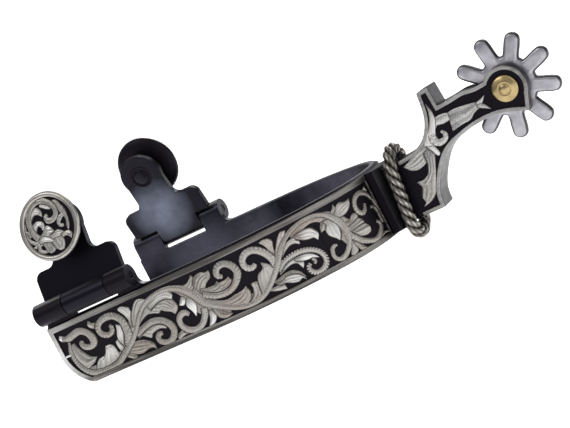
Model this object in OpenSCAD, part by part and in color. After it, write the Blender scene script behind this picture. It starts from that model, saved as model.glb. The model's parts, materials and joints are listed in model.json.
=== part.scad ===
// Western show spur with two swinging strap buttons.
// The origin is the centre of the heel bend, at half the height of the band.
// +X points back towards the rowel, +Y to the right branch, +Z up.
// The right-hand silver, hinge and button are mirrored to make the left-hand ones.

/* [Heel band] */
// Height of the steel band
band_h = 25.4; // [24:0.2:28]
// Thickness of the steel band
band_t = 3; // [2.6:0.1:3.6]
// Clear width between the two arms
opening_w = 80.8; // [78:0.2:86]
// Inside radius of the bend that sits behind the heel
heel_r = 32.4; // [30:0.1:34]
// Half of the angle that the heel bend covers
heel_half_angle = 56; // [54:1:60]
// Distance from the centre of the heel bend to the toe ends
arm_l = 90; // [84:0.5:96]
// Radius of the rounded lower corner of a toe end
toe_corner_r = 16; // [12:0.5:20]
// Height of the rounded lower corner of a toe end
toe_corner_h = 14; // [10:0.5:16]

/* [Button hinges] */
// Radius of a hinge knuckle
knuckle_r = 4.2; // [3.8:0.1:4.6]
// Radius of a hinge pin
hinge_pin_r = 1.5; // [1.3:0.1:1.8]
// Distance from the toe end to the toe end of the knuckles
hinge_inset = 0.5; // [0:0.1:2]
// Length of the fixed knuckle at the toe end
toe_knuckle_l = 13; // [10:0.5:14]
// Length of the swinging knuckle in the middle
mid_knuckle_l = 19.5; // [16:0.5:22]
// Length of the fixed knuckle at the heel end
heel_knuckle_l = 9.4; // [8:0.2:12]
// Slot between the swinging knuckle and the band
hinge_slot = 0.9; // [0.7:0.1:1.5]
// Play at each end of the swinging knuckle
knuckle_play = 0.15; // [0.1:0.05:0.3]

/* [Buttons] */
// Thickness of the hinge leaf and its ears
leaf_t = 2.6; // [2.2:0.1:3]
// Width of the hinge leaf
leaf_w = 36; // [34:0.5:38]
// Height of the leaf's shoulders above the hinge axis
shoulder_h = 14.9; // [13:0.1:16]
// Radius of the round end of the leaf's tongue
tongue_r = 8.7; // [8:0.1:9.5]
// Distance from the hinge axis to the stud
stud_h = 27.5; // [26:0.5:30]
// Inward lean of the leaves at rest
leaf_lean = 13; // [5:1:20]
// Diameter of a button
button_d = 25; // [23:0.5:26]
// Thickness of a button's steel disc
button_t = 2.2; // [2:0.1:2.6]
// Clear gap for the strap, between the leaf and the disc
strap_gap = 4.6; // [4:0.1:5.5]

/* [Shank and rowel] */
// Thickness of the shank steel
shank_t = 9.9; // [9:0.1:11]
// Distance from the heel bend's centre to the rowel axis
rowel_x = 94.6; // [93:0.2:98]
// Height of the rowel axis
rowel_z = 18.4; // [17.6:0.2:19]
// Radius of the rowel, to the tips of its points
rowel_r = 18.8; // [17.8:0.1:19]
// Thickness of the rowel
rowel_t = 3.2; // [2.8:0.1:3.4]
// Number of points on the rowel
rowel_points = 9; // [8:1:12]
// Radius of the rowel pin
rowel_pin_r = 1.9; // [1.6:0.1:2.2]
// Radius of a cheek of the fork
cheek_r = 8; // [7.6:0.1:8.6]
// Diameter of the rope of the collar
rope_d = 4.2; // [3.8:0.1:4.4]

/* [Silver] */
// Height of the silver overlays above the steel
silver_t = 0.6; // [0.5:0.05:0.8]
// Width of the silver strip along the top edge
top_strip_w = 2.1; // [1.6:0.1:2.6]
// Width of the silver strip along the bottom edge
bottom_strip_w = 1.7; // [1.4:0.1:2.2]
// Width of the silver strip around the shank
shank_strip_w = 1.4; // [1.1:0.1:1.7]

/* [Hidden] */
$fn = 64;

// Gap that keeps two touching pieces of one body apart
fit_gap = 0.02;
// Running gap around a turning pin
run_gap = 0.06;
// Width of the bevel on the long edges of the band
edge_bevel = 0.8;
// Oversize of a cutting body
cut = 1;
// Lengths of one sweep overlap by sweep_lap, where the outer one stands sweep_step proud
sweep_lap = 1;
sweep_step = 0.02;
// How far the section of a sweep is shrunk
$inset = 0;

half_h = band_h / 2;
// Outer edges of the two silver strips on the band
top_z = half_h - edge_bevel;
low_z = edge_bevel / 2 - half_h;
half_in = opening_w / 2;
// Inside radius and centre of the slow bend between the heel bend and the arm
side_r = (half_in - heel_r * sin(heel_half_angle)) / (1 - sin(heel_half_angle));
side_x = (heel_r - side_r) * cos(heel_half_angle);
side_y = (heel_r - side_r) * sin(heel_half_angle);
toe_x = -arm_l;

// The outer face of the steel, where the silver lies
face_r = heel_r + band_t;
face_side_r = side_r + band_t;
face_y = half_in + band_t;

hinge_y = half_in + knuckle_r;
hinge_z = half_h + hinge_slot + knuckle_r;
hinge_x0 = toe_x + hinge_inset;
mid_x0 = hinge_x0 + toe_knuckle_l;
mid_x1 = mid_x0 + mid_knuckle_l;
hinge_x1 = mid_x1 + heel_knuckle_l;
// The leaf's middle lies this far towards the toe from the middle knuckle's
leaf_offset = 1.7;
leaf_x = (mid_x0 + mid_x1) / 2 - leaf_offset;

disc_y = leaf_t - knuckle_r + strap_gap;
rim_h = 1.2;
rim_w = 1.9;
button_r = button_d / 2;

// Half width of the block that carries the shank on the heel
root_half_w = 8;
root_x1 = 40.2;
panel_end_angle = asin((root_half_w + 0.6) / face_r);

rope_x = 43.6;
rope_z = -0.6;
rope_tilt = 6;
rope_half_w = 7.6;
rope_half_h = 15.8;
// Side of the square that bevels the shank where the rope passes
rope_bevel = 1.8;

shank_half = shank_t / 2;
fork_gap = rowel_t + 0.6;
pin_head_r = 4.6;
pin_head_h = 2.2;

// ---- curves ----

// A point on the smooth curve through b and c, between the neighbours a and d.
function curve_point(a, b, c, d, t) =
    0.5 * (2 * b + (c - a) * t + (2 * a - 5 * b + 4 * c - d) * t * t
           + (3 * b - a - 3 * c + d) * t * t * t);

// A smooth curve through the points p, with the given steps from point to point.
function curve(p, steps = 4) =
    let (last = len(p) - 1)
    concat([for (i = [0:last - 1], k = [0:steps - 1])
               curve_point(p[max(i - 1, 0)], p[i], p[i + 1], p[min(i + 2, last)], k / steps)],
           [p[last]]);

// The outline of a ribbon. Each item of path is [x, z, width].
function ribbon(path) =
    let (last = len(path) - 1,
         side = [for (i = [0:last])
                    let (a = path[max(i - 1, 0)], b = path[min(i + 1, last)],
                         d = [b[0] - a[0], b[1] - a[1]])
                    [-d[1], d[0]] / norm(d) * path[i][2] / 2])
    concat([for (i = [0:last]) [path[i][0], path[i][1]] + side[i]],
           [for (i = [last:-1:0]) [path[i][0], path[i][1]] - side[i]]);

// A scroll that curls around centre c. Each key is [angle, distance, width].
function curl(c, keys) =
    ribbon([for (k = curve(keys, 5)) [c[0] + k[1] * cos(k[0]), c[1] + k[1] * sin(k[0]), k[2]]]);

// A pointed leaf from base to tip. Its middle bends sideways by sweep.
function leaf(base, tip, width, sweep = 0) =
    let (d = tip - base, side = [-d[1], d[0]] / norm(d))
    ribbon([for (t = [0:0.125:1])
               let (p = base + d * t + side * sweep * sin(180 * t))
               [p[0], p[1], 0.1 + width * sin(180 * pow(t, 0.75))]]);

// ---- shapes that repeat ----

// Sweeps a section along the right half of the band, from the toe side to the heel.
// The section's x is the distance out from the inner face, and its y is height.
module along_right_branch(x_from, heel_angle_to = 0) {
    lap_angle = sweep_lap / heel_r * 180 / PI;
    translate([x_from, half_in, 0])
        rotate([90, 0, 90]) linear_extrude(side_x + sweep_lap - x_from) children();
    translate([side_x, side_y, 0]) rotate([0, 0, heel_half_angle])
        rotate_extrude(angle = 90 - heel_half_angle, $fn = 180)
            translate([side_r, 0]) let ($inset = sweep_step) children();
    if (heel_angle_to < heel_half_angle)
        rotate([0, 0, heel_angle_to])
            rotate_extrude(angle = heel_half_angle + lap_angle - heel_angle_to, $fn = 120)
                translate([heel_r, 0]) children();
}

// Removes the lower toe corner, outside a quarter of a large circle.
module toe_corner_cut() {
    translate([toe_x, half_in + 2 * band_t, -half_h]) rotate([90, 0, 0])
        linear_extrude(3 * band_t)
            difference() {
                translate([-cut, -cut]) square([toe_corner_r + cut, toe_corner_h + cut]);
                translate([toe_corner_r, toe_corner_h]) circle(toe_corner_r, $fn = 96);
            }
}

// A square corner filled with a quarter round of radius r.
module inner_corner(r) {
    difference() {
        translate([-0.05, -0.05]) square(r + 0.05);
        translate([r, r]) circle(r);
    }
}

// Puts a right-hand button part on its hinge axis, leaned inward.
module on_right_hinge() {
    translate([0, hinge_y, hinge_z]) rotate([leaf_lean, 0, 0]) children();
}

// Turns a round part to stand out from the leaf at the stud.
module at_stud() {
    translate([leaf_x, 0, stud_h]) rotate([-90, 0, 0]) children();
}

module left_side() {
    mirror([0, 1, 0]) children();
}

// ---- heel band ----

module band_section() {
    inner = $inset;
    outer = band_t - $inset;
    top = half_h - $inset;
    polygon([[inner, edge_bevel / 2 - top], [inner + edge_bevel / 2, -top],
             [outer - edge_bevel / 2, -top], [outer, edge_bevel / 2 - top],
             [outer, top - edge_bevel], [outer - edge_bevel, top],
             [inner + edge_bevel / 2, top], [inner, top - edge_bevel / 2]]);
}

// The rolled ears of one hinge, without their bore.
module right_ears() {
    for (span = [[hinge_x0, mid_x0 - knuckle_play], [mid_x1 + knuckle_play, hinge_x1]]) {
        translate([span[0], hinge_y, hinge_z]) rotate([0, 90, 0])
            cylinder(r = knuckle_r, h = span[1] - span[0]);
        translate([span[0], half_in, half_h - cut])
            cube([span[1] - span[0], leaf_t, hinge_z - half_h + cut]);
    }
    translate([hinge_x1, half_in + leaf_t, half_h]) rotate([90, 0, 0])
        linear_extrude(leaf_t) inner_corner(3.4);
}

module right_branch() {
    difference() {
        union() {
            difference() {
                along_right_branch(toe_x) band_section();
                toe_corner_cut();
            }
            right_ears();
        }
        translate([hinge_x0 - cut, hinge_y, hinge_z]) rotate([0, 90, 0])
            cylinder(r = hinge_pin_r + fit_gap, h = hinge_x1 - hinge_x0 + 2 * cut);
    }
}

module heel_band() {
    color("#2b2a33") {
        right_branch();
        left_side() right_branch();
    }
}

// ---- silver on the band ----

module silver_strip(z_from, width) {
    translate([band_t + fit_gap + $inset, z_from + $inset])
        square([silver_t - 2 * $inset, width - 2 * $inset]);
}

module band_border() {
    end_h = top_z - low_z;
    inner_r = toe_corner_r - bottom_strip_w;
    color("#b9b6ae") difference() {
        union() {
            along_right_branch(toe_x, panel_end_angle) silver_strip(top_z - top_strip_w, top_strip_w);
            along_right_branch(toe_x, panel_end_angle) silver_strip(low_z, bottom_strip_w);
            rotate([0, 0, panel_end_angle]) rotate_extrude(angle = 1.2, $fn = 120)
                translate([heel_r, 0]) silver_strip(low_z, end_h);
            translate([toe_x, face_y + fit_gap + silver_t, low_z]) rotate([90, 0, 0])
                linear_extrude(silver_t) difference() {
                    square([toe_corner_r, end_h]);
                    translate([toe_corner_r, toe_corner_h - edge_bevel / 2]) circle(inner_r, $fn = 96);
                    translate([bottom_strip_w, toe_corner_h - edge_bevel / 2])
                        square([toe_corner_r, end_h]);
                }
        }
        toe_corner_cut();
    }
}

// The scrollwork is drawn on the unrolled outer face. Along it, 0 is where the arm
// meets the slow bend, and the heel lies on the positive side.
module band_artwork(to_plane) {
    stem = curve([[-40, -8.2, 2.6], [-31, -3.6, 2.8], [-22.5, 4.2, 3.4], [-13.5, 6.6, 3.6],
                  [-5.5, 3, 4], [0, -3, 3.8], [7, -7.4, 3], [16, -8.8, 2.6], [25, -5.6, 3.2],
                  [32, 0.6, 3.4], [38.5, 5.6, 3.4], [47, 6.8, 3.4], [54, 3.4, 3.4],
                  [58.2, -2, 3], [57, -7.2, 2.6], [52.4, -9.6, 2.4], [48.2, -7, 2],
                  [49.6, -4, 1.6], [51.6, -4.4, 1.4]], 3);
    toe_bar = [[-62, 0, 0.9], [-58, 0, 0.9]];
    ribbons = [ribbon(stem), ribbon(toe_bar),
        curl([-50.7, 3.4], [[-41, 15, 2.2], [-80, 13.2, 3], [-122, 11, 3.4], [-160, 8.4, 3.4],
                            [-205, 6, 3], [-250, 4, 2.4], [-310, 3.4, 2], [-380, 3.2, 1.9],
                            [-450, 2.8, 1.8], [-540, 1.9, 1.6]]),
        curl([-40.9, 3.6], [[-48, 10, 2.4], [-10, 8.4, 2.6], [45, 5.8, 2.4], [90, 4.2, 2.2],
                            [160, 3.6, 2], [230, 3, 1.9], [310, 2.2, 1.6], [370, 1.6, 1.2]]),
        curl([-19.8, -6.4], [[160, 12, 2], [125, 9, 2.4], [80, 6.6, 2.4], [20, 5.6, 2.2],
                             [-50, 4.4, 2], [-120, 3.4, 2], [-200, 2.6, 1.6], [-260, 2, 1.2]]),
        curl([-8.4, -5.4], [[25, 7.4, 2.2], [-20, 5.4, 2.2], [-80, 4.4, 2], [-150, 3.9, 2],
                            [-225, 3.2, 1.8], [-290, 2.2, 1.3]]),
        curl([12.2, 3.9], [[215, 9.8, 2], [-110, 7, 2.2], [-55, 5.4, 2.2], [10, 4.6, 2.1],
                           [80, 4, 2], [150, 3.2, 1.8], [230, 2, 1.4]]),
        curl([22.3, 3.6], [[-25, 8.4, 2], [15, 6, 2.2], [70, 4.4, 2.2], [130, 3.8, 2],
                           [200, 3.4, 1.9], [280, 2.4, 1.4]]),
        curl([42.2, -6.2], [[165, 14, 2], [130, 9, 2.2], [85, 5.8, 2.2], [20, 4.9, 2.2],
                            [-50, 4.2, 2.1], [-130, 3.2, 1.9], [-215, 2.2, 1.4]]),
        curl([67.2, -4.6], [[-165, 9, 2.2], [-125, 6.6, 1.9], [-75, 5.6, 1.6], [-25, 5.2, 1.3],
                            [20, 5, 1]]),
        curl([68, 2.9], [[-70, 3.4, 1.1], [-20, 4.4, 1.3], [45, 3.6, 1.4], [110, 3.2, 1.4],
                         [180, 3, 1.5], [245, 2.6, 1.4], [330, 1.6, 1]])];
    leaves = [leaf([-56.4, 5.4], [-60.4, 8], 2, 0.6), leaf([-45, 6], [-46.8, 8.4], 1.8, 0.4),
        leaf([-58, -3], [-50.4, -4.6], 3, -0.8), leaf([-52, -8.6], [-45.6, -1.8], 3, 1),
        leaf([-43, -8], [-42.6, -0.2], 2.4, -0.8), leaf([-35.8, -4.6], [-36.6, 2.4], 2.4, -0.8),
        leaf([-28.6, -1.4], [-31.6, 8.6], 2, 0.6), leaf([-27.2, 0.4], [-22, 8.6], 2.2, -0.8),
        leaf([-22, 3.4], [-9.6, -1.4], 4.4, -2), leaf([-26, -0.6], [-12.8, -7], 3.6, 1.8),
        leaf([-36, -6.6], [-25.8, -10.2], 3.2, 0.8), leaf([-37, -7.6], [-33.4, -10.4], 1.6, 0.4),
        leaf([-5.6, 3], [-7.6, -3.4], 3, 0.9), leaf([-4.4, 3.4], [-0.4, 8.6], 2.2, -0.6),
        leaf([-3, 3], [6.6, 7.4], 4.2, 1.2), leaf([0, -3.8], [-1.2, -10.4], 2.2, -0.5),
        leaf([1, -4], [7.2, -10.2], 2.4, 0.6), leaf([4.4, -1.6], [13.4, 1], 3.4, 0.8),
        leaf([6, -6.8], [16.8, -3], 3.4, 1), leaf([17, -8.2], [25, 1.4], 3.6, 1.4),
        leaf([29.4, -1.4], [28.2, 8.8], 2, 0.5), leaf([30.4, -0.6], [35.4, 8.6], 2.2, 0.6),
        leaf([34, 2.2], [46.8, 0.2], 4, 1.6), leaf([31, -1.2], [43.8, -6], 2.8, 1.6),
        leaf([26, -5], [36.8, -10], 3, 1), leaf([52, 4.6], [53.6, -3.2], 3.4, 1),
        leaf([54.6, 4.4], [57.2, 8.2], 1.8, -0.4), leaf([55.4, 2.6], [63.4, 7.2], 3.8, 1),
        leaf([58.2, -2], [63.2, 1.8], 2.6, 0.6), leaf([58.4, -3], [66, -1.4], 3, 0.4),
        leaf([58.4, -3.8], [66.2, -5], 3, 0), leaf([58, -5], [55.4, -10.2], 1.8, 0),
        leaf([58.6, -5], [61.4, -10.6], 2.2, 0)];
    offset(delta = 0.01) union() {
        for (shape = concat(ribbons, leaves)) polygon([for (p = shape) to_plane(p)]);
    }
}

// x of a point on the outer face, from its distance along the unrolled face
function across_x(s) =
    let (turn = s / (face_side_r + silver_t / 2) * 180 / PI)
    s < 0 ? side_x + s : side_x + (face_side_r + silver_t / 2) * sin(turn);

side_turn = 90 - heel_half_angle;
heel_start_s = side_turn * PI / 180 * (face_side_r + silver_t / 2);
// Direction in which the heel part of the scrollwork is cut
heel_view_angle = 36;

// Gap between the scrollwork and the strips beside it
strip_gap = 0.1;

// Section of the space between the two strips, with the thickness of the silver
module panel_section() {
    low = low_z + bottom_strip_w + strip_gap;
    silver_strip(low, top_z - top_strip_w - strip_gap - low);
}

module band_scroll() {
    scroll_r = face_r + silver_t / 2;
    color("#c4c1b8") {
        intersection() {
            along_right_branch(toe_x, heel_half_angle) panel_section();
            translate([0, face_y + 4, 0]) rotate([90, 0, 0]) linear_extrude(face_y)
                band_artwork(function (p) [across_x(p[0]), p[1]]);
        }
        intersection() {
            rotate_extrude(angle = heel_half_angle - fit_gap, $fn = 120)
                translate([heel_r, 0]) panel_section();
            rotate([90, 0, heel_view_angle + 90]) linear_extrude(face_r + 5)
                band_artwork(function (p)
                    let (a = heel_half_angle - (p[0] - heel_start_s) / scroll_r * 180 / PI)
                    [scroll_r * sin(a - heel_view_angle), p[1]]);
        }
    }
}

// ---- shank ----

// Corner points and curved edges of the side view of the shank
guard_front = [64.9, 29.9];
guard_back = [69.4, 30.3];
heel_top = [44, 10.6];
heel_bottom = [44, -10.7];
spur_point = [99.1, 8.1];
upper_edge = curve([heel_top, [52, 11.2], [57, 12.8], [60.2, 15.2], [62.5, 18.6], [64, 22.8],
                    guard_front]);
neck_edge = curve([[69.9, 22.9], [74.2, 23.2], [79.4, 23.8], [84.5, 23.3], [88.6, 23.6]]);
lower_edge = curve([spur_point, [91.4, 10.8], [85.3, 11.6], [78.5, 11.1], [71, 9.3],
                    [66.3, 7.3], [62.9, 4.4], [58.9, -0.9], [56.4, -6], [55.9, -10.7]]);

module shank_outline() {
    polygon(concat(upper_edge, [guard_back], neck_edge, [[rowel_x, rowel_z]], lower_edge,
                   [heel_bottom]));
    translate([rowel_x, rowel_z]) circle(cheek_r);
    polygon([[rowel_x, rowel_z], [rowel_x + cheek_r - 0.1, rowel_z - 1], spur_point]);
}

// Lays a side view drawing on the middle plane and gives it a thickness.
module side_plate(y_from, thickness) {
    translate([0, y_from + thickness, 0]) rotate([90, 0, 0]) linear_extrude(thickness) children();
}

module shank() {
    color("#23222a") difference() {
        union() {
            side_plate(-shank_half, shank_t) shank_outline();
            translate([heel_r, -shank_half, heel_bottom[1]])
                cube([heel_top[0] - heel_r + 0.1, shank_t, heel_top[1] - heel_bottom[1]]);
            difference() {
                translate([heel_r, -root_half_w, -half_h + edge_bevel])
                    cube([root_x1 - heel_r, 2 * root_half_w, band_h - 2 * edge_bevel]);
                for (side = [-1, 1])
                    translate([root_x1, side * root_half_w, -half_h]) rotate([0, 0, 45])
                        cube([3.4, 3.4, 3 * band_h], center = true);
            }
        }
        // Two bevels that clear the rope
        for (side = [-1, 1])
            translate([rope_x, side * shank_half, heel_top[1]]) rotate([45, 0, 0])
                cube([2 * (rope_x - root_x1) - cut, rope_bevel, rope_bevel], center = true);
        translate([0, 0, -band_h]) cylinder(r = face_r + fit_gap, h = 2 * band_h, $fn = 120);
        translate([rowel_x, 0, rowel_z]) rotate([90, 0, 0])
            cylinder(r = rowel_r + 0.6, h = fork_gap, center = true, $fn = 96);
        translate([rowel_x, 0, rowel_z]) rotate([90, 0, 0])
            cylinder(r = rowel_pin_r + fit_gap, h = 2 * shank_t, center = true);
    }
}

module shank_border() {
    color("#b9b6ae") side_plate(shank_half + fit_gap, silver_t) difference() {
        offset(delta = -0.02) shank_outline();
        offset(delta = -shank_strip_w) shank_outline();
        translate([0, -band_h]) square([rope_x + 3.6, 3 * band_h]);
    }
}

// A leaf between two edges. Both edges run from its base to its tip.
function between(edge_a, edge_b) =
    let (back = curve(edge_b))
    concat(curve(edge_a), [for (i = [len(back) - 1:-1:0]) back[i]]);

module shank_leaf() {
    arm_leaf = between([[61, 15], [64, 17.8], [68, 19.3], [74, 19.4], [79, 19], [83.4, 18.2]],
                       [[63, 13.4], [65.8, 16.2], [69.4, 15.6], [71.4, 12.6], [76, 13.4],
                        [80.4, 15], [83.8, 16]]);
    fish_tail = [[82.6, 18.4], [86.6, 19.4], [85.5, 17], [86.8, 14.2], [84.2, 15.4], [82.6, 15.8]];
    guard_stem = ribbon(curve([[66.2, 25, 0.6], [66, 21, 1.9], [64.2, 17.4, 3.2],
                               [61.6, 13.8, 4.4], [59.6, 10.6, 2.6]]));
    hook = curl([66.2, 13.4], [[120, 3.4, 3], [175, 3.2, 3], [215, 2.7, 2.6], [252, 2.3, 2.3],
                               [300, 2.1, 2], [342, 1.9, 1.7], [396, 1.3, 1.4]]);
    knob = ribbon(curve([[60.6, 10, 2], [61.9, 9, 2.1], [62.4, 7.8, 1.8]]));
    wing = between([[60.4, 11.8], [57.4, 11.6], [54.4, 10.6], [51.4, 9.4], [48.9, 8.1]],
                   [[60.6, 9], [57, 6.1], [53.8, 5], [51, 5.7], [48.9, 8.1]]);
    tail = between([[61, 10], [60, 6.5], [58.6, 2.6], [56.8, -1.2], [54.6, -5.2], [52, -7.1],
                    [49, -7.7]],
                   [[57.8, 9], [57, 5], [55.8, 2.2], [53.2, 0.4], [51.7, -1.7], [50, -4.2],
                    [49.6, -6], [49, -7.7]]);
    thorn = [[55, 1.9], [50.6, 1.1], [52, -1.4]];
    color("#c4c1b8") side_plate(shank_half + fit_gap, silver_t) intersection() {
        offset(delta = -shank_strip_w - 0.15) shank_outline();
        offset(delta = 0.01) for (shape = [arm_leaf, fish_tail, guard_stem, hook, knob, wing,
                                           tail, thorn])
            polygon(shape);
    }
}

module rope_collar() {
    straight = rope_half_h - rope_half_w;
    color("#a9a294") translate([rope_x, 0, rope_z]) rotate([0, rope_tilt, 0]) {
        for (side = [-1, 1]) {
            translate([0, side * rope_half_w, -straight])
                cylinder(d = rope_d, h = 2 * straight);
            translate([0, 0, side * straight]) rotate([0, 90, 0])
                rotate([0, 0, side > 0 ? 90 : -90])
                    rotate_extrude(angle = 180) translate([rope_half_w, 0]) circle(d = rope_d);
        }
    }
}

// ---- rowel ----

module rowel() {
    paddle_r = 2.75;
    neck_w = 5;
    valley_r = 1.5;
    body_r = 0.55 * rowel_r;
    first_point = 19;
    step = 360 / rowel_points;
    color("#8f8c97") translate([rowel_x, rowel_t / 2, rowel_z]) rotate([90, 0, 0])
        linear_extrude(rowel_t) difference() {
            union() {
                circle(body_r + 1, $fn = 96);
                for (i = [0:rowel_points - 1]) rotate(first_point + i * step) {
                    translate([rowel_r - paddle_r, 0]) circle(paddle_r, $fn = 32);
                    translate([0, -neck_w / 2]) square([rowel_r - paddle_r, neck_w]);
                }
            }
            for (i = [0:rowel_points - 1]) rotate(first_point + (i + 0.5) * step)
                translate([body_r + valley_r, 0]) circle(valley_r, $fn = 32);
            circle(rowel_pin_r + run_gap);
        }
}

module rowel_pin() {
    seat = shank_half + fit_gap;
    dome_r = (pin_head_r * pin_head_r + pin_head_h * pin_head_h) / (2 * pin_head_h);
    color("#b8964e") translate([rowel_x, 0, rowel_z]) rotate([90, 0, 0]) {
        cylinder(r = rowel_pin_r, h = 2 * seat + 1, center = true);
        for (end = [0, 180]) rotate([end, 0, 0]) translate([0, 0, seat])
            intersection() {
                cylinder(r = pin_head_r, h = pin_head_h);
                translate([0, 0, pin_head_h - dome_r]) sphere(dome_r, $fn = 96);
            }
    }
}

// ---- swinging buttons ----

module hinge_pin() {
    color("#34333c") translate([hinge_x0 + 0.2, hinge_y, hinge_z]) rotate([0, 90, 0])
        cylinder(r = hinge_pin_r, h = hinge_x1 - hinge_x0 - 0.4);
}

module leaf_outline() {
    plate_z = knuckle_r + 0.15;
    corner = 3.2;
    neck_w = 2 * tongue_r - 1;
    translate([-leaf_w / 2, plate_z]) square([leaf_w, shoulder_h - corner - plate_z]);
    translate([corner - leaf_w / 2, plate_z]) square([leaf_w - 2 * corner, shoulder_h - plate_z]);
    for (side = [-1, 1]) {
        translate([side * (leaf_w / 2 - corner), shoulder_h - corner]) circle(corner);
        translate([side * neck_w / 2, shoulder_h]) mirror([side < 0 ? 1 : 0, 0])
            inner_corner(corner);
    }
    translate([-neck_w / 2, plate_z]) square([neck_w, stud_h - plate_z]);
    translate([0, stud_h]) circle(tongue_r);
}

module button_leaf() {
    knuckle_x0 = mid_x0 + knuckle_play;
    knuckle_l = mid_knuckle_l - 2 * knuckle_play;
    color("#26252d") on_right_hinge() difference() {
        union() {
            translate([leaf_x, leaf_t - knuckle_r, 0]) rotate([90, 0, 0])
                linear_extrude(leaf_t) leaf_outline();
            translate([knuckle_x0, -knuckle_r, 0]) cube([knuckle_l, leaf_t, knuckle_r + 1]);
            translate([knuckle_x0, 0, 0]) rotate([0, 90, 0])
                cylinder(r = knuckle_r, h = knuckle_l);
        }
        translate([knuckle_x0 - cut, 0, 0]) rotate([0, 90, 0])
            cylinder(r = hinge_pin_r + run_gap, h = knuckle_l + 2 * cut);
        translate([0, -knuckle_r, 0]) at_stud() {
            translate([0, 0, -cut]) cylinder(r = 2.5 + fit_gap, h = leaf_t + 2 * cut);
            translate([0, 0, -cut]) cylinder(r = 4.4 + fit_gap, h = 1.2 + cut);
        }
    }
}

// The rivet that joins the leaf and the disc, with the neck that keeps the strap gap.
module button_stud() {
    color("#3a3942") on_right_hinge() at_stud() {
        translate([0, 0, -knuckle_r]) cylinder(r = 4.4, h = 1.2 - fit_gap);
        translate([0, 0, -knuckle_r]) cylinder(r = 2.5, h = disc_y + knuckle_r + 1);
        translate([0, 0, leaf_t - knuckle_r + fit_gap])
            cylinder(r = 3.6, h = strap_gap - 2 * fit_gap);
    }
}

module button_disc() {
    color("#26252d") on_right_hinge() at_stud() translate([0, 0, disc_y])
        difference() {
            rotate_extrude($fn = 96)
                polygon([[0, 0], [button_r - 2.6, 0], [button_r - 0.3, 1.2], [button_r, 1.6],
                         [button_r, button_t], [0, button_t]]);
            translate([0, 0, -cut]) cylinder(r = 2.5 + fit_gap, h = 1 + fit_gap + cut);
        }
}

module button_rim() {
    color("#bdbab2") on_right_hinge() at_stud() translate([0, 0, disc_y + button_t + fit_gap])
        rotate_extrude($fn = 96)
            polygon([[button_r - rim_w, 0], [button_r, 0], [button_r, 0.6 * rim_h],
                     [button_r - 0.4, 0.9 * rim_h], [button_r - 0.9, rim_h],
                     [button_r - rim_w + 0.2, 0.8 * rim_h]]);
}

module button_scroll() {
    big_curl = curl([-1.4, 2.6], [[-100, 9.4, 1.6], [-150, 8.6, 2], [-190, 7, 2.2],
                               [-240, 5.6, 2.2], [-290, 4.4, 2], [-340, 3.8, 1.9],
                               [-400, 3, 1.8], [-470, 2.2, 1.5]]);
    left_stem = ribbon(curve([[-4.6, -6.4, 1.4], [-8, -4.4, 1.4], [-9.4, -0.6, 1.3],
                              [-8.8, 3.4, 1]]));
    right_stem = ribbon(curve([[2.4, 8.6, 1.2], [5.4, 6.6, 1.8], [7.6, 2.8, 1.8], [7.8, -1.4, 1.3],
                               [6.6, -3.6, 1]]));
    right_hook = curl([5.6, 1.6], [[20, 2.4, 1.2], [-60, 2, 1.1], [-150, 1.8, 1]]);
    petals = [for (a = [-35:50:165]) leaf([1.6, -4.6], [1.6, -4.6] + 4.4 * [cos(a), sin(a)], 3, 0)];
    low_petals = [for (a = [200:42:300])
                     leaf([1.6, -4.6], [1.6, -4.6] + 4.6 * [cos(a), sin(a)], 2.8, 0)];
    inner_leaves = [leaf([-6.6, 2.6], [-2.2, 4], 2, 0.6), leaf([-6.4, -1.6], [-2.4, 0.4], 2.2, 0.8)];
    outer_face = disc_y + button_t + fit_gap + silver_t;
    color("#c4c1b8") on_right_hinge() translate([leaf_x, outer_face, stud_h])
        rotate([90, 0, 0]) linear_extrude(silver_t) intersection() {
            circle(button_r - rim_w - 0.2, $fn = 96);
            offset(delta = 0.01) union() {
                for (shape = concat([big_curl, left_stem, right_stem, right_hook], petals,
                                    low_petals, inner_leaves))
                    polygon(shape);
                translate([1.6, -4.6]) circle(1.6);
            }
        }
}

heel_band();
left_side() band_border();  // left_band_border
band_border();  // right_band_border
left_side() band_scroll();  // left_band_scroll
band_scroll();  // right_band_scroll
shank();
left_side() shank_border();  // left_shank_border
shank_border();  // right_shank_border
left_side() shank_leaf();  // left_shank_leaf
shank_leaf();  // right_shank_leaf
rope_collar();
rowel();
rowel_pin();
left_side() hinge_pin();  // left_hinge_pin
hinge_pin();  // right_hinge_pin
left_side() button_leaf();  // left_button_leaf
button_leaf();  // right_button_leaf
left_side() button_stud();  // left_button_stud
button_stud();  // right_button_stud
left_side() button_disc();  // left_button_disc
button_disc();  // right_button_disc
left_side() button_rim();  // left_button_rim
button_rim();  // right_button_rim
left_side() button_scroll();  // left_button_scroll
button_scroll();  // right_button_scroll
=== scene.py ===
import json
import math

import bpy
import numpy as np
from mathutils import Matrix, Vector


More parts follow.
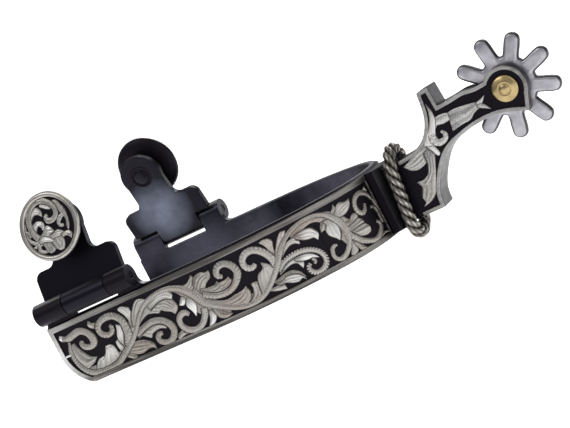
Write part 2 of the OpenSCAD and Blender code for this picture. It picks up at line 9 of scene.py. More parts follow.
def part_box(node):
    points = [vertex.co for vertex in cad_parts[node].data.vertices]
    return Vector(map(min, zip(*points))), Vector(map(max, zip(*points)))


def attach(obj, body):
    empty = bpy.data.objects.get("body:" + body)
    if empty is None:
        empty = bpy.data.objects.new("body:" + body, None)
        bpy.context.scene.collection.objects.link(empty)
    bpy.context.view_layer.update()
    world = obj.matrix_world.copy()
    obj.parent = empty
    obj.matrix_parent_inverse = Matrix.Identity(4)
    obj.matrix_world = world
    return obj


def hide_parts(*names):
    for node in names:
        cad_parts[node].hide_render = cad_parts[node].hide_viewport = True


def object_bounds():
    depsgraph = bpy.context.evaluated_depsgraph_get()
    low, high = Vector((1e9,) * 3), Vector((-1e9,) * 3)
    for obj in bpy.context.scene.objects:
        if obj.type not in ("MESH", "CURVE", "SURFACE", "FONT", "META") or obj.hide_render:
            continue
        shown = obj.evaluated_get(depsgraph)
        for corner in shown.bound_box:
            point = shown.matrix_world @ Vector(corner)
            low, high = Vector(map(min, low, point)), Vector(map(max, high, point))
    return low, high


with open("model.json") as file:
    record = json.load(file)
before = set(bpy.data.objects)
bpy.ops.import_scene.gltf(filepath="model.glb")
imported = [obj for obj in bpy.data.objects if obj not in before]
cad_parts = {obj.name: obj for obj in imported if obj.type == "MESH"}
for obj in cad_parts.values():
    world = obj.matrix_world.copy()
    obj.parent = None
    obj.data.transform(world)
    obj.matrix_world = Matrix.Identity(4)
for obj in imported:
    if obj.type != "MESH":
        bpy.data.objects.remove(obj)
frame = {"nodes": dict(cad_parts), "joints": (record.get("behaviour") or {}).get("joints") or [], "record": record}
NODES = frame["nodes"]
RECORD = frame["record"]
CAD_BOX = [list(corner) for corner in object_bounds()]
MM = 0.001
SIDES = ((1, "right"), (-1, "left"))
rng = np.random.default_rng(7)


def box_mm(node):
    """The two corners of a CAD node's box, in millimetres."""
    lo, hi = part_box(node)
    return np.array(lo) / MM, np.array(hi) / MM


# ---- sizes of the frame, in millimetres ----

FIT_GAP = 0.02                  # between the silver and the steel under it
SILVER_T = 0.6
BAND_T = 3.0
HEEL_HALF = math.radians(56)    # half of the angle that the heel's arc spans
LEAN = math.radians(13)         # how far the leaves lean in
LEAF_BACK = 1.7                 # from the middle of the hinge to the middle of the button
JOINTS = {j["name"]: np.array(j["pos_m"]) / MM for j in frame["joints"]}
ROWEL_C = JOINTS["rowel_spin"]
HINGE_C = JOINTS["right_button_swing"]
LEAF_X = HINGE_C[0] - LEAF_BACK
SHANK_HALF = box_mm("right_shank_border")[0][1]

# The outer face of the band: a straight arm, a wide bend and a tight bend at the heel.
HEEL_IN_R = next(m["dims"]["r_mm"] for m in RECORD["mounts"] if m["name"] == "heel_clamp")
FACE_Y = box_mm("right_band_border")[1][1] - FIT_GAP - SILVER_T
FACE_R = HEEL_IN_R + BAND_T
SIDE_IN_R = (FACE_Y - BAND_T - HEEL_IN_R * math.sin(HEEL_HALF)) / (1 - math.sin(HEEL_HALF))
SIDE_X = (HEEL_IN_R - SIDE_IN_R) * math.cos(HEEL_HALF)
SIDE_Y = (HEEL_IN_R - SIDE_IN_R) * math.sin(HEEL_HALF)
SIDE_R = SIDE_IN_R + BAND_T
SIDE_DRAW_R = SIDE_R + SILVER_T / 2
HEEL_DRAW_R = FACE_R + SILVER_T / 2
HEEL_START = (math.pi / 2 - HEEL_HALF) * SIDE_DRAW_R


# ---- curves ----

def smooth_curve(points, steps=8):
    """A smooth curve through the points."""
    p = np.array(points, float)
    p = np.vstack([p[0], p, p[-1]])
    out = []
    for i in range(len(p) - 3):
        a, b, c, d = p[i:i + 4]
        for t in np.arange(steps) / steps:
            out.append(0.5 * (2 * b + (c - a) * t + (2 * a - 5 * b + 4 * c - d) * t ** 2
                              + (3 * b - a - 3 * c + d) * t ** 3))
    out.append(p[-1])
    return np.array(out)


def lengths(path):
    """How far along the path each point is. The first two columns are the position."""
    gaps = np.linalg.norm(np.diff(path[:, :2], axis=0), axis=1)
    return np.concatenate([[0], np.cumsum(gaps)])


def spaced(path, count):
    """The path as so many evenly spaced points."""
    at = lengths(path)
    want = np.linspace(0, at[-1], count)
    return np.stack([np.interp(want, at, column) for column in path.T], 1)


def unit(vectors):
    """Each row at length 1."""
    return vectors / (np.linalg.norm(vectors, axis=1)[:, None] + 1e-9)


def waves(turns):
    """Bumps from 0 to 1, one for each whole turn."""
    return np.clip(np.cos(2 * math.pi * turns), 0, 1)


def ramp(value, start, end):
    """0 at start, 1 at end and even in between."""
    return np.clip((value - start) / (end - start), 0, 1)


# ---- grids of cells ----

def shifted(grid, dj, di):
    """The grid moved by whole cells. What moves in from outside is 0."""
    out = np.zeros_like(grid)
    ny, nx = grid.shape
    out[max(dj, 0):ny + min(dj, 0), max(di, 0):nx + min(di, 0)] = \
        grid[max(-dj, 0):ny + min(-dj, 0), max(-di, 0):nx + min(-di, 0)]
    return out


def grow(mask, reach):
    """The mask and all cells within reach of it."""
    out = mask.copy()
    for dj in range(-reach, reach + 1):
        for di in range(-reach, reach + 1):
            if dj * dj + di * di <= reach * reach + 0.5:
                out |= shifted(mask, dj, di)
    return out


def blur(grid):
    grid = (shifted(grid, 0, 1) + shifted(grid, 0, -1) + 2 * grid) / 4
    return (shifted(grid, 1, 0) + shifted(grid, -1, 0) + 2 * grid) / 4


# ---- meshes ----

def mesh_object(name, points_mm, faces, smooth=True):
    """A new mesh from points in millimetres and faces with equally many corners."""
    mesh = bpy.data.meshes.new(name)
    points = np.asarray(points_mm, np.float32) * MM
    faces = np.asarray(faces, np.int32)
    mesh.vertices.add(len(points))
    mesh.vertices.foreach_set("co", points.ravel())
    mesh.loops.add(faces.size)
    mesh.loops.foreach_set("vertex_index", faces.ravel())
    mesh.polygons.add(len(faces))
    size = faces.shape[1]
    mesh.polygons.foreach_set("loop_start", np.arange(0, faces.size, size, dtype=np.int32))
    mesh.polygons.foreach_set("loop_total", np.full(len(faces), size, np.int32))
    mesh.update(calc_edges=True)
    mesh.validate()
    if smooth:
        mesh.shade_smooth()
    obj = bpy.data.objects.new(name, mesh)
    bpy.context.scene.collection.objects.link(obj)
    return obj


def paint(obj, **layers):
    """Stores a number for each vertex under each name."""
    for key, values in layers.items():
        layer = obj.data.attributes.new(key, "FLOAT", "POINT")
        layer.data.foreach_set("value", np.asarray(values, np.float32).ravel())


def wrapped_faces(rows, columns, closed):
    """Faces of a grid whose columns go round. In a closed grid the rows go round too."""
    a = np.arange(rows * columns).reshape(rows, columns)
    b = np.roll(a, -1, 1)
    faces = np.stack([a, b, np.roll(b, -1, 0), np.roll(a, -1, 0)], -1)
    return (faces if closed else faces[:-1]).reshape(-1, 4)


def lathe(name, profile, place, count=72):
    """Turns a profile of [radius, height] round the axis and puts it in place."""
    profile = np.array(profile, float)
    a = 2 * math.pi * np.arange(count) / count
    p = np.stack([profile[:, None, 0] * np.cos(a), profile[:, None, 0] * np.sin(a),
                  np.repeat(profile[:, 1:2], count, 1)], -1).reshape(-1, 3)
    return mesh_object(name, place(p), wrapped_faces(len(profile), count, False))


# ---- relief ----

class Relief:
    """Silver scrollwork drawn on a flat grid, as heights above the steel in millimetres."""
    SUNK = -0.25           # height where there is no silver
    GROOVE_W = 0.2         # the dark groove around a piece that lies on another
    SHOULDER_W = 0.45      # how far a leaf's edge is rounded
    EDGE_H = 0.30          # height of a leaf's edge, and how much more it has inside
    CROWN_W = 2.2          # half width of a leaf that is fully crowned
    VEIN_H = 0.06
    PECK_H = 0.06
    PECK_TURN = (7.1, 2)   # how fast the pecked dots repeat along and across
    STEM_H = (0.38, 0.36)  # height of a stem's edge, and how much more it has in the middle
    BORDER = 0.45          # the share of a stem's half width where its border starts
    LINE_W = 0.12
    HATCH_STEP = 0.85
    SLANT = 0.35           # how far the hatching leans over, in steps
    STIPPLE_STEP = (0.95, 0.9)
    BEAD_STEP = 1.05

    def __init__(self, lo, hi, cell):
        self.lo, self.cell = lo, cell
        self.x = np.arange(lo[0], hi[0] + cell, cell)
        self.y = np.arange(lo[1], hi[1] + cell, cell)
        self.gx, self.gy = np.meshgrid(self.x, self.y)
        self.height = np.full(self.gx.shape, self.SUNK)
        self.cut = np.zeros(self.gx.shape)
        self.tone = np.zeros(self.gx.shape)

    def cover(self, edge_a, edge_b):
        """The cells between two edges: how far along, how far across and the half width."""
        fine = self.cell * 0.45
        steps = 2 + int(max(lengths(edge_a)[-1], lengths(edge_b)[-1]) / fine)
        a, b = spaced(edge_a, steps), spaced(edge_b, steps)
        wide = np.linalg.norm(a - b, axis=1)
        q = np.linspace(-1, 1, 3 + int(wide.max() / fine))
        p = a[:, None] * (1 - q[None, :, None]) / 2 + b[:, None] * (1 + q[None, :, None]) / 2
        i = np.rint((p[..., 0] - self.lo[0]) / self.cell).astype(int)
        j = np.rint((p[..., 1] - self.lo[1]) / self.cell).astype(int)
        ok = (i >= 0) & (i < len(self.x)) & (j >= 0) & (j < len(self.y))
        inside = np.zeros(self.gx.shape, bool)
        inside[j[ok], i[ok]] = True
        layers = []
        for values, rest in ((lengths(a)[:, None], 0), (q[None, :], 0),
                             (np.maximum(wide, 0.1)[:, None] / 2, 0.05)):
            layer = np.full(self.gx.shape, float(rest))
            layer[j[ok], i[ok]] = np.broadcast_to(values, i.shape)[ok]
            layers.append(layer)
        return inside, *layers

    def lay(self, inside, top, cut, tone, depth):
        """Lays one piece of silver over what is there, with a dark groove around it."""
        near = grow(inside, int(self.GROOVE_W / self.cell + 0.5))
        groove = near & ~inside & (self.height > 0.1)
        self.height = np.where(groove, np.minimum(self.height, 0.62 - 0.4 * depth), self.height)
        self.cut = np.where(groove, np.maximum(self.cut, depth), self.cut)
        self.height = np.where(inside, top, self.height)
        self.cut = np.where(inside, np.clip(cut, 0, 1), self.cut)
        self.tone = np.where(inside, tone, self.tone)

    def leaf(self, edge_a, edge_b, veins, highlight=0.0, blunt=False, lift=0.22, rim=0.30, peck=0.0):
        """A cupped leaf between two edges, with long veins. It rises by lift to its tip.

        The tip is the last point of edge a. Edge b also ends there, unless the leaf is blunt.
        """
        edge_a, edge_b = smooth_curve(edge_a), smooth_curve(edge_b if blunt else edge_b + edge_a[-1:])
        inside, along, across, half = self.cover(edge_a, edge_b)
        t = along / lengths(edge_a)[-1]
        out = (1 - np.abs(across)) * half
        shoulder = ramp(out, 0, self.SHOULDER_W) ** 0.5
        crown = (1 - across ** 2) * ramp(half, 0, self.CROWN_W)
        wave = np.cos(math.pi * veins * across)
        flute = ramp(half, 0.4, 1.2) * ramp(t, 1.02, 0.77)
        top = self.EDGE_H * (1 + shoulder) + 0.8 * rim * crown + lift * t ** 1.5
        turn, skew = self.PECK_TURN
        dots = np.cos(turn * self.gx + skew * self.gy) * np.cos(turn * self.gy - skew * self.gx)
        dots = peck * np.clip(dots, 0, 1) * (out > 0.5)
        top = top + self.VEIN_H * wave * flute - self.PECK_H * dots
        cut = 0.20 * ramp(-wave, 0.55, 1) * flute + 0.30 * (1 - shoulder) \
            + 0.25 * ramp(t, 0.35, 0) + 0.6 * dots
        # A painted highlight that grows from the base toward the tip, plus a random tone.
        tone = highlight * ramp(t, 0, 0.45) + rng.uniform(-0.4, 0.05)
        self.lay(inside, top, cut, tone, 0.65)

    def stem(self, keys, stipple=0.5, bold=0.0, highlight=0.0, depth=0.8, outline=0.4):
        """A flat stem. Each key is [x, y, width]. Its border is hatched and its middle pecked."""
        path = smooth_curve(keys, 10)
        path = spaced(path, max(int(lengths(path)[-1] / (self.cell * 0.6)), 4) + 1)
        step = unit(np.gradient(path[:, :2], axis=0))
        reach = np.stack([-step[:, 1], step[:, 0]], 1) * path[:, 2:3] / 2
        inside, along, across, half = self.cover(path[:, :2] + reach, path[:, :2] - reach)
        e = np.abs(across)
        border = (e > self.BORDER) & (half > 0.45)
        hatch = waves(along / (self.HATCH_STEP + 0.3 * bold) + self.SLANT * e) * border
        far, wide = self.STIPPLE_STEP
        peck = np.cos(2 * math.pi * along / far) * np.cos(2 * math.pi * across * half / wide)
        peck = np.clip(peck, 0, 1) * ~border * stipple
        line = np.exp(-(((e - self.BORDER) * half / self.LINE_W) ** 2)) * (half > 0.5)
        edge, more = self.STEM_H
        top = edge + more * np.sqrt(np.clip(1.02 - e ** 3, 0, 1)) * np.clip(half / 1.2, 0.5, 1.1)
        top = top - 0.05 * line - (0.07 + 0.2 * bold) * hatch - 0.07 * peck
        cut = 0.20 * line + (0.38 + 0.62 * bold) * hatch + 0.5 * peck + outline * (e > 0.9)
        beads = waves(along / self.BEAD_STEP) * np.exp(-(((e - 0.55) / 0.22) ** 2)) * (half > 0.7)
        # The tone is a painted highlight on the whole stem, a random tone and lighter beads.
        self.lay(inside, top, cut, highlight + rng.uniform(-0.3, 0.05) + 0.55 * beads, depth)

    def clip(self, keep):
        """Takes away all silver outside the given cells."""
        self.height = np.where(keep, self.height, self.SUNK)

    def finish(self):
        """Softens the stepped outline and lets the silver fall to the steel around it."""
        solid = (self.height > 0).astype(float)
        soft = blur(solid)
        ring = blur(self.height * solid) / np.maximum(soft, 1e-6)
        fall = ramp(soft, 0.12, 0.62)
        body = np.where(solid > 0, self.height, ring)
        body = 0.55 * body + 0.45 * blur(body)
        self.cut = np.where(solid > 0, self.cut, 0.9)
        self.height = np.where(soft > 0.02, body * fall + self.SUNK * (1 - fall), self.SUNK)

    def mesh(self, name, place, flip):
        """The part of the sheet that stands above the steel, put in place by a mapping."""
        height = self.height
        points = place(self.gx.ravel(), self.gy.ravel(), height.ravel())
        index = np.arange(height.size).reshape(height.shape)
        corners = [np.s_[:-1, :-1], np.s_[:-1, 1:], np.s_[1:, 1:], np.s_[1:, :-1]]
        keep = np.maximum.reduce([height[corner] for corner in corners]) > self.SUNK + 0.02
        order = corners[::-1] if flip else corners
        faces = np.stack([index[corner][keep] for corner in order], 1)
        used, faces = np.unique(faces, return_inverse=True)
        obj = mesh_object(name, points[used], faces.reshape(-1, 4))
        dark = np.maximum(self.cut, ramp(height, 0.26, 0))
        # The engraving layer is the patina in cuts and hollows; the tone layer holds random tones and painted
        # highlights.
        paint(obj, engraving=dark.ravel()[used], tone=self.tone.ravel()[used])
        return obj


# ---- materials ----

class Graph:
    """A node tree wired by short calls. An input is a number, a colour, a vector or a socket."""

    def __init__(self, tree):
        self.tree = tree
        coordinates = self.add("TexCoord").outputs
        self.spot, self.normal = coordinates["Object"], coordinates["Normal"]
        self.around = coordinates["Generated"]

    def feed(self, node, inputs):
        for key, value in inputs.items():
            socket = node.inputs[key]
            if isinstance(value, bpy.types.NodeSocket):
                self.tree.links.new(value, socket)
            else:
                socket.default_value = (*value, 1) if socket.type == "RGBA" else value

    def add(self, kind, inputs=None, **settings):
        node = self.tree.nodes.new("ShaderNode" + kind)
        for key, value in settings.items():
            setattr(node, key, value)
        self.feed(node, inputs or {})
        return node

    def noise(self, scale, detail=4.0, stretch=(1, 1, 1)):
        spot = self.add("Mapping", {"Vector": self.spot, "Scale": stretch}).outputs["Vector"]
        return self.add("TexNoise", {"Scale": scale, "Detail": detail, "Vector": spot}).outputs["Fac"]

    def spread(self, value, low, high, start=0.3, end=0.7):
        """Low where the value is at start, high where it is at end."""
        limits = {"From Min": start, "From Max": end, "To Min": low, "To Max": high}
        return self.add("MapRange", {"Value": value, **limits}).outputs["Result"]

    def mix(self, factor, a, b):
        inputs = {"Factor": factor, 6: a, 7: b}
        return self.add("Mix", inputs, data_type="RGBA").outputs[2]

    def mix_value(self, factor, a, b):
        return self.add("Mix", {"Factor": factor, 2: a, 3: b}).outputs[0]

    def vector(self, operation, a, b=(0, 0, 0)):
        return self.add("VectorMath", {0: a, 1: b}, operation=operation).outputs

    def number(self, operation, a, b=0):
        return self.add("Math", {0: a, 1: b}, operation=operation).outputs[0]

    def layer(self, name):
        return self.add("Attribute", attribute_name=name).outputs["Fac"]


def side_zone(g):
    """1 on faces that look to either side, 0 elsewhere."""
    across = g.add("SeparateXYZ", {0: g.normal}).outputs["Y"]
    return g.spread(g.number("ABSOLUTE", across), 0, 1, 0.75, 0.95)


def top_zone(g):
    """1 on faces that look up, 0 elsewhere."""
    return g.spread(g.add("SeparateXYZ", {0: g.normal}).outputs["Z"], 0, 1, 0.6, 0.9)


def outer_zone(g):
    """1 on faces that look out from the U of the band."""
    level = g.vector("MULTIPLY", g.spot, (1, 1, 0))[0]
    outward = g.vector("NORMALIZE", level)[0]
    return g.spread(g.vector("DOT_PRODUCT", outward, g.normal)["Value"], 0, 1, 0.2, 0.35)


LOOKS = {}
# How fine each pattern is, in repeats per metre.
WARM_CLOUDS, MOTTLE, SMUDGES, SPECKS, SCRATCHES = 75, 110, 420, 1500, 2600
SCRATCH_DEPTH_M = 0.0001
PATINA_ROUGHNESS = 0.6


def look(name, color, tint, metallic, roughness, cloud=160, sharp=0.2, streak=(1, 1, 1),
         warm=None, painted_light_patches=(), top_highlight=None, edge_shade=None, zone=None, zone_look=None, light_tone_and_highlight=None,
         patina=None, bump=0.12, scratch=(1, 1, 1), edge=None):
    """A metal with cloudy colour and fine scratches, kept under its name in LOOKS.

    Painted light patches are [places, radius, colour] of soft painted reflections and highlights. A colour for
    light tones and painted highlights and a patina colour are for silver whose mesh has layers that say where it
    is engraved.
    """
    m = bpy.data.materials.new(name)
    m.use_nodes = True
    g = Graph(m.node_tree)
    clouds = g.spread(g.noise(cloud, stretch=streak), 0, 1, 0.5 - sharp, 0.5 + sharp)
    base = g.mix(clouds, color, tint)
    if warm:
        base = g.mix(g.spread(g.noise(WARM_CLOUDS, 2.0), 0, 0.8, 0.42, 0.62), base, warm)
    rough = g.spread(g.noise(SMUDGES), 0.85 * roughness, 1.2 * roughness)
    # Each patch is a painted reflection or highlight: a lighter spot at a fixed place.
    for centre, radius, painted_light_color in [(c, r, color) for places, r, color in painted_light_patches for c in places]:
        away = g.vector("DISTANCE", g.spot, Vector(centre) * MM)["Value"]
        glow = g.spread(away, 1, 0, 0.1 * radius * MM, radius * MM)
        mottle = g.spread(g.noise(MOTTLE, 2.0), 0.6, 1, 0.36, 0.62)
        base = g.mix(g.number("MULTIPLY", glow, mottle), base, painted_light_color)
    # Painted highlight: faces that look up get a lighter colour.
    if top_highlight:
        base = g.mix(top_zone(g), base, top_highlight)
    # Painted shade: faces that don't look to either side, the edges and bevels, get the dark colour.
    if edge_shade:
        base = g.mix(side_zone(g), edge_shade, base)
    if zone:
        mask = zone(g)
        zone_color, zone_rough = zone_look
        base = g.mix(mask, base, zone_color)
        rough = g.mix_value(mask, rough, zone_rough)
    if light_tone_and_highlight:
        base = g.mix(g.spread(g.noise(SPECKS, 2.0), 0, 0.45, 0.45, 0.75), base, patina)
        # The tone layer lightens the silver: random lighter tones and painted highlights.
        base = g.mix(g.spread(g.layer("tone"), 0, 1, -0.2, 1), base, light_tone_and_highlight)
        base = g.mix(g.layer("engraving"), base, patina)
        rough = g.mix_value(g.layer("engraving"), rough, PATINA_ROUGHNESS)
    grain = g.noise(SCRATCHES, 3.0, scratch)
    scratches = g.add("Bump", {"Strength": bump, "Distance": SCRATCH_DEPTH_M, "Height": grain})
    if edge:
        bevel = g.add("Bevel", {"Radius": edge * MM}, samples=4)
        g.feed(scratches, {"Normal": bevel.outputs["Normal"]})
    g.feed(m.node_tree.nodes["Principled BSDF"],
           {"Base Color": base, "Roughness": rough, "Metallic": metallic,
            "Normal": scratches.outputs["Normal"]})
    LOOKS[name] = m


def both_sides(x, y, z):
    return [(x, side * y, z) for side, _ in SIDES]


SILVER = (0.385, 0.372, 0.343)
# Light silver for lighter tones and painted highlights.
LIGHT_TONE_AND_HIGHLIGHT = (0.72, 0.72, 0.71)
PATINA = (0.035, 0.030, 0.030)
GROUND = (0.010, 0.008, 0.012)
DARK = (0.012, 0.011, 0.017)
# Places of the painted light patches: painted reflections on the steel, painted highlights on the silver.
LEAF_MID = both_sides(LEAF_X - 1, HINGE_C[1] - 3, HINGE_C[2] + 11)
BUTTON_MID = both_sides(LEAF_X, HINGE_C[1] + 8, HINGE_C[2] + 27)
EAR_FOOT = both_sides(LEAF_X + 12, FACE_Y - BAND_T, 2)
ARM_MID = both_sides(LEAF_X + 34, FACE_Y - BAND_T, 8)
TOE_TIP = both_sides(SIDE_X - 64, FACE_Y, 0)
SHANK_MID = [(ROWEL_C[0] - 22, 0, 14)]

# Blued steel: a painted highlight on faces that look up.
look("blued_steel", (0.006, 0.006, 0.011), (0.042, 0.040, 0.057), 0.9, 0.30, cloud=42, sharp=0.12,
     edge=0.4, bump=0.05, top_highlight=(0.30, 0.30, 0.30), zone=outer_zone, zone_look=(GROUND, 0.45),
     painted_light_patches=[(EAR_FOOT, 24, (0.06, 0.063, 0.085)), (ARM_MID, 12, (0.12, 0.125, 0.16))])
look("black_steel", (0.014, 0.013, 0.018), (0.03, 0.029, 0.035), 0.95, 0.34, edge=0.5,
     zone=side_zone, zone_look=(GROUND, 0.5), painted_light_patches=[(SHANK_MID, 40, (0.07, 0.07, 0.072))])
look("hinge_steel", (0.007, 0.0065, 0.010), (0.016, 0.015, 0.022), 0.9, 0.34, cloud=60, edge=0.4,
     zone=outer_zone, zone_look=(DARK, 0.32), painted_light_patches=[(LEAF_MID, 15, (0.195, 0.217, 0.285))])
look("disc_steel", DARK, (0.022, 0.02, 0.028), 0.9, 0.42, cloud=90, zone=side_zone,
     zone_look=(GROUND, 0.5))
# The rowel's edges and bevels get painted shade.
look("rowel_steel", (0.48, 0.47, 0.505), (0.31, 0.30, 0.33), 1.0, 0.34, cloud=260,
     edge_shade=(0.07, 0.068, 0.075))
look("strip_silver", (0.23, 0.22, 0.207), (0.07, 0.066, 0.062), 1.0, 0.34, cloud=170, sharp=0.09,
     streak=(0.2, 0.2, 5), scratch=(1, 1, 12), edge=0.4,
     painted_light_patches=[(SHANK_MID, 45, (0.39, 0.39, 0.385)), (TOE_TIP, 16, (0.75, 0.75, 0.74))])
look("engraved_silver", SILVER, (0.285, 0.268, 0.24), 1.0, 0.36, warm=(0.345, 0.30, 0.265),
     light_tone_and_highlight=LIGHT_TONE_AND_HIGHLIGHT, patina=PATINA,
     painted_light_patches=[(SHANK_MID, 45, (0.47, 0.47, 0.462)), (BUTTON_MID, 30, (0.50, 0.48, 0.45))])
look("rope_silver", (0.21, 0.185, 0.16), (0.085, 0.07, 0.06), 1.0, 0.30, cloud=400,
     light_tone_and_highlight=(0.72, 0.69, 0.64), patina=(0.008, 0.007, 0.007))
look("rim_silver", (0.42, 0.405, 0.38), (0.33, 0.31, 0.285), 1.0, 0.32, cloud=300)
look("brass", (0.47, 0.36, 0.18), (0.34, 0.26, 0.13), 1.0, 0.28, cloud=500)


def dress(obj, slot_name):
    obj.data.materials.clear()
    obj.data.materials.append(LOOKS[slot_name])


def add(obj, body, slot_name, *replaced):
    """Gives a piece its look and the body it rides on."""
    dress(obj, slot_name)
    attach(obj, body)
    if replaced:
        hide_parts(*replaced)


SAME_POINT_M = 2e-6
SAME_PLANE = math.radians(0.4)
SHARP_EDGE = math.radians(38)


def soften(node, width):
    """Rounds the sharp edges of a CAD node with modifiers."""
    obj = NODES[node]
    if "custom_normal" in obj.data.attributes:
        obj.data.attributes.remove(obj.data.attributes["custom_normal"])
    obj.data.shade_smooth()
    weld = obj.modifiers.new("weld", "WELD")
    weld.merge_threshold = SAME_POINT_M
    flat = obj.modifiers.new("flat", "DECIMATE")
    flat.decimate_type = "DISSOLVE"
    flat.angle_limit = SAME_PLANE
    bevel = obj.modifiers.new("edge", "BEVEL")
    bevel.width = width * MM
    bevel.segments = 2
    bevel.limit_method = "ANGLE"
    bevel.angle_limit = SHARP_EDGE
    bevel.harden_normals = True
    bevel.use_clamp_overlap = True


# How far the edges of each CAD piece are rounded.
EDGE_W = {"heel_band": 0.25, "shank": 0.35}
PAIR_EDGE_W = {"band_border": 0.25, "shank_border": 0.3, "hinge_pin": 0.2, "button_leaf": 0.6,
               "button_stud": 0.15, "button_disc": 0.3}

for part in RECORD["subparts"]:
    dress(NODES[part["node"]], part["material_slot"])
for piece, width in EDGE_W.items():
    soften(piece, width)
for piece, width in PAIR_EDGE_W.items():
    for _, name in SIDES:
        soften(name + "_" + piece, width)


# ---- scrollwork on the band ----

def band_point(x, y, h, side):
    """Puts drawing positions on the outer face. Height h stands above the steel."""
    arm = x < 0
    bend = (x >= 0) & (x < HEEL_START)
    turn = math.pi / 2 - np.clip(x, 0, HEEL_START) / SIDE_DRAW_R
    heel = HEEL_HALF - (x - HEEL_START) / HEEL_DRAW_R
    px = np.where(arm, SIDE_X + x, np.where(bend, SIDE_X + (SIDE_R + h) * np.cos(turn),
                                            (FACE_R + h) * np.cos(heel)))
    py = np.where(arm, FACE_Y + h, np.where(bend, SIDE_Y + (SIDE_R + h) * np.sin(turn),
                                            (FACE_R + h) * np.sin(heel)))
    return np.stack([px, side * py, y], 1)
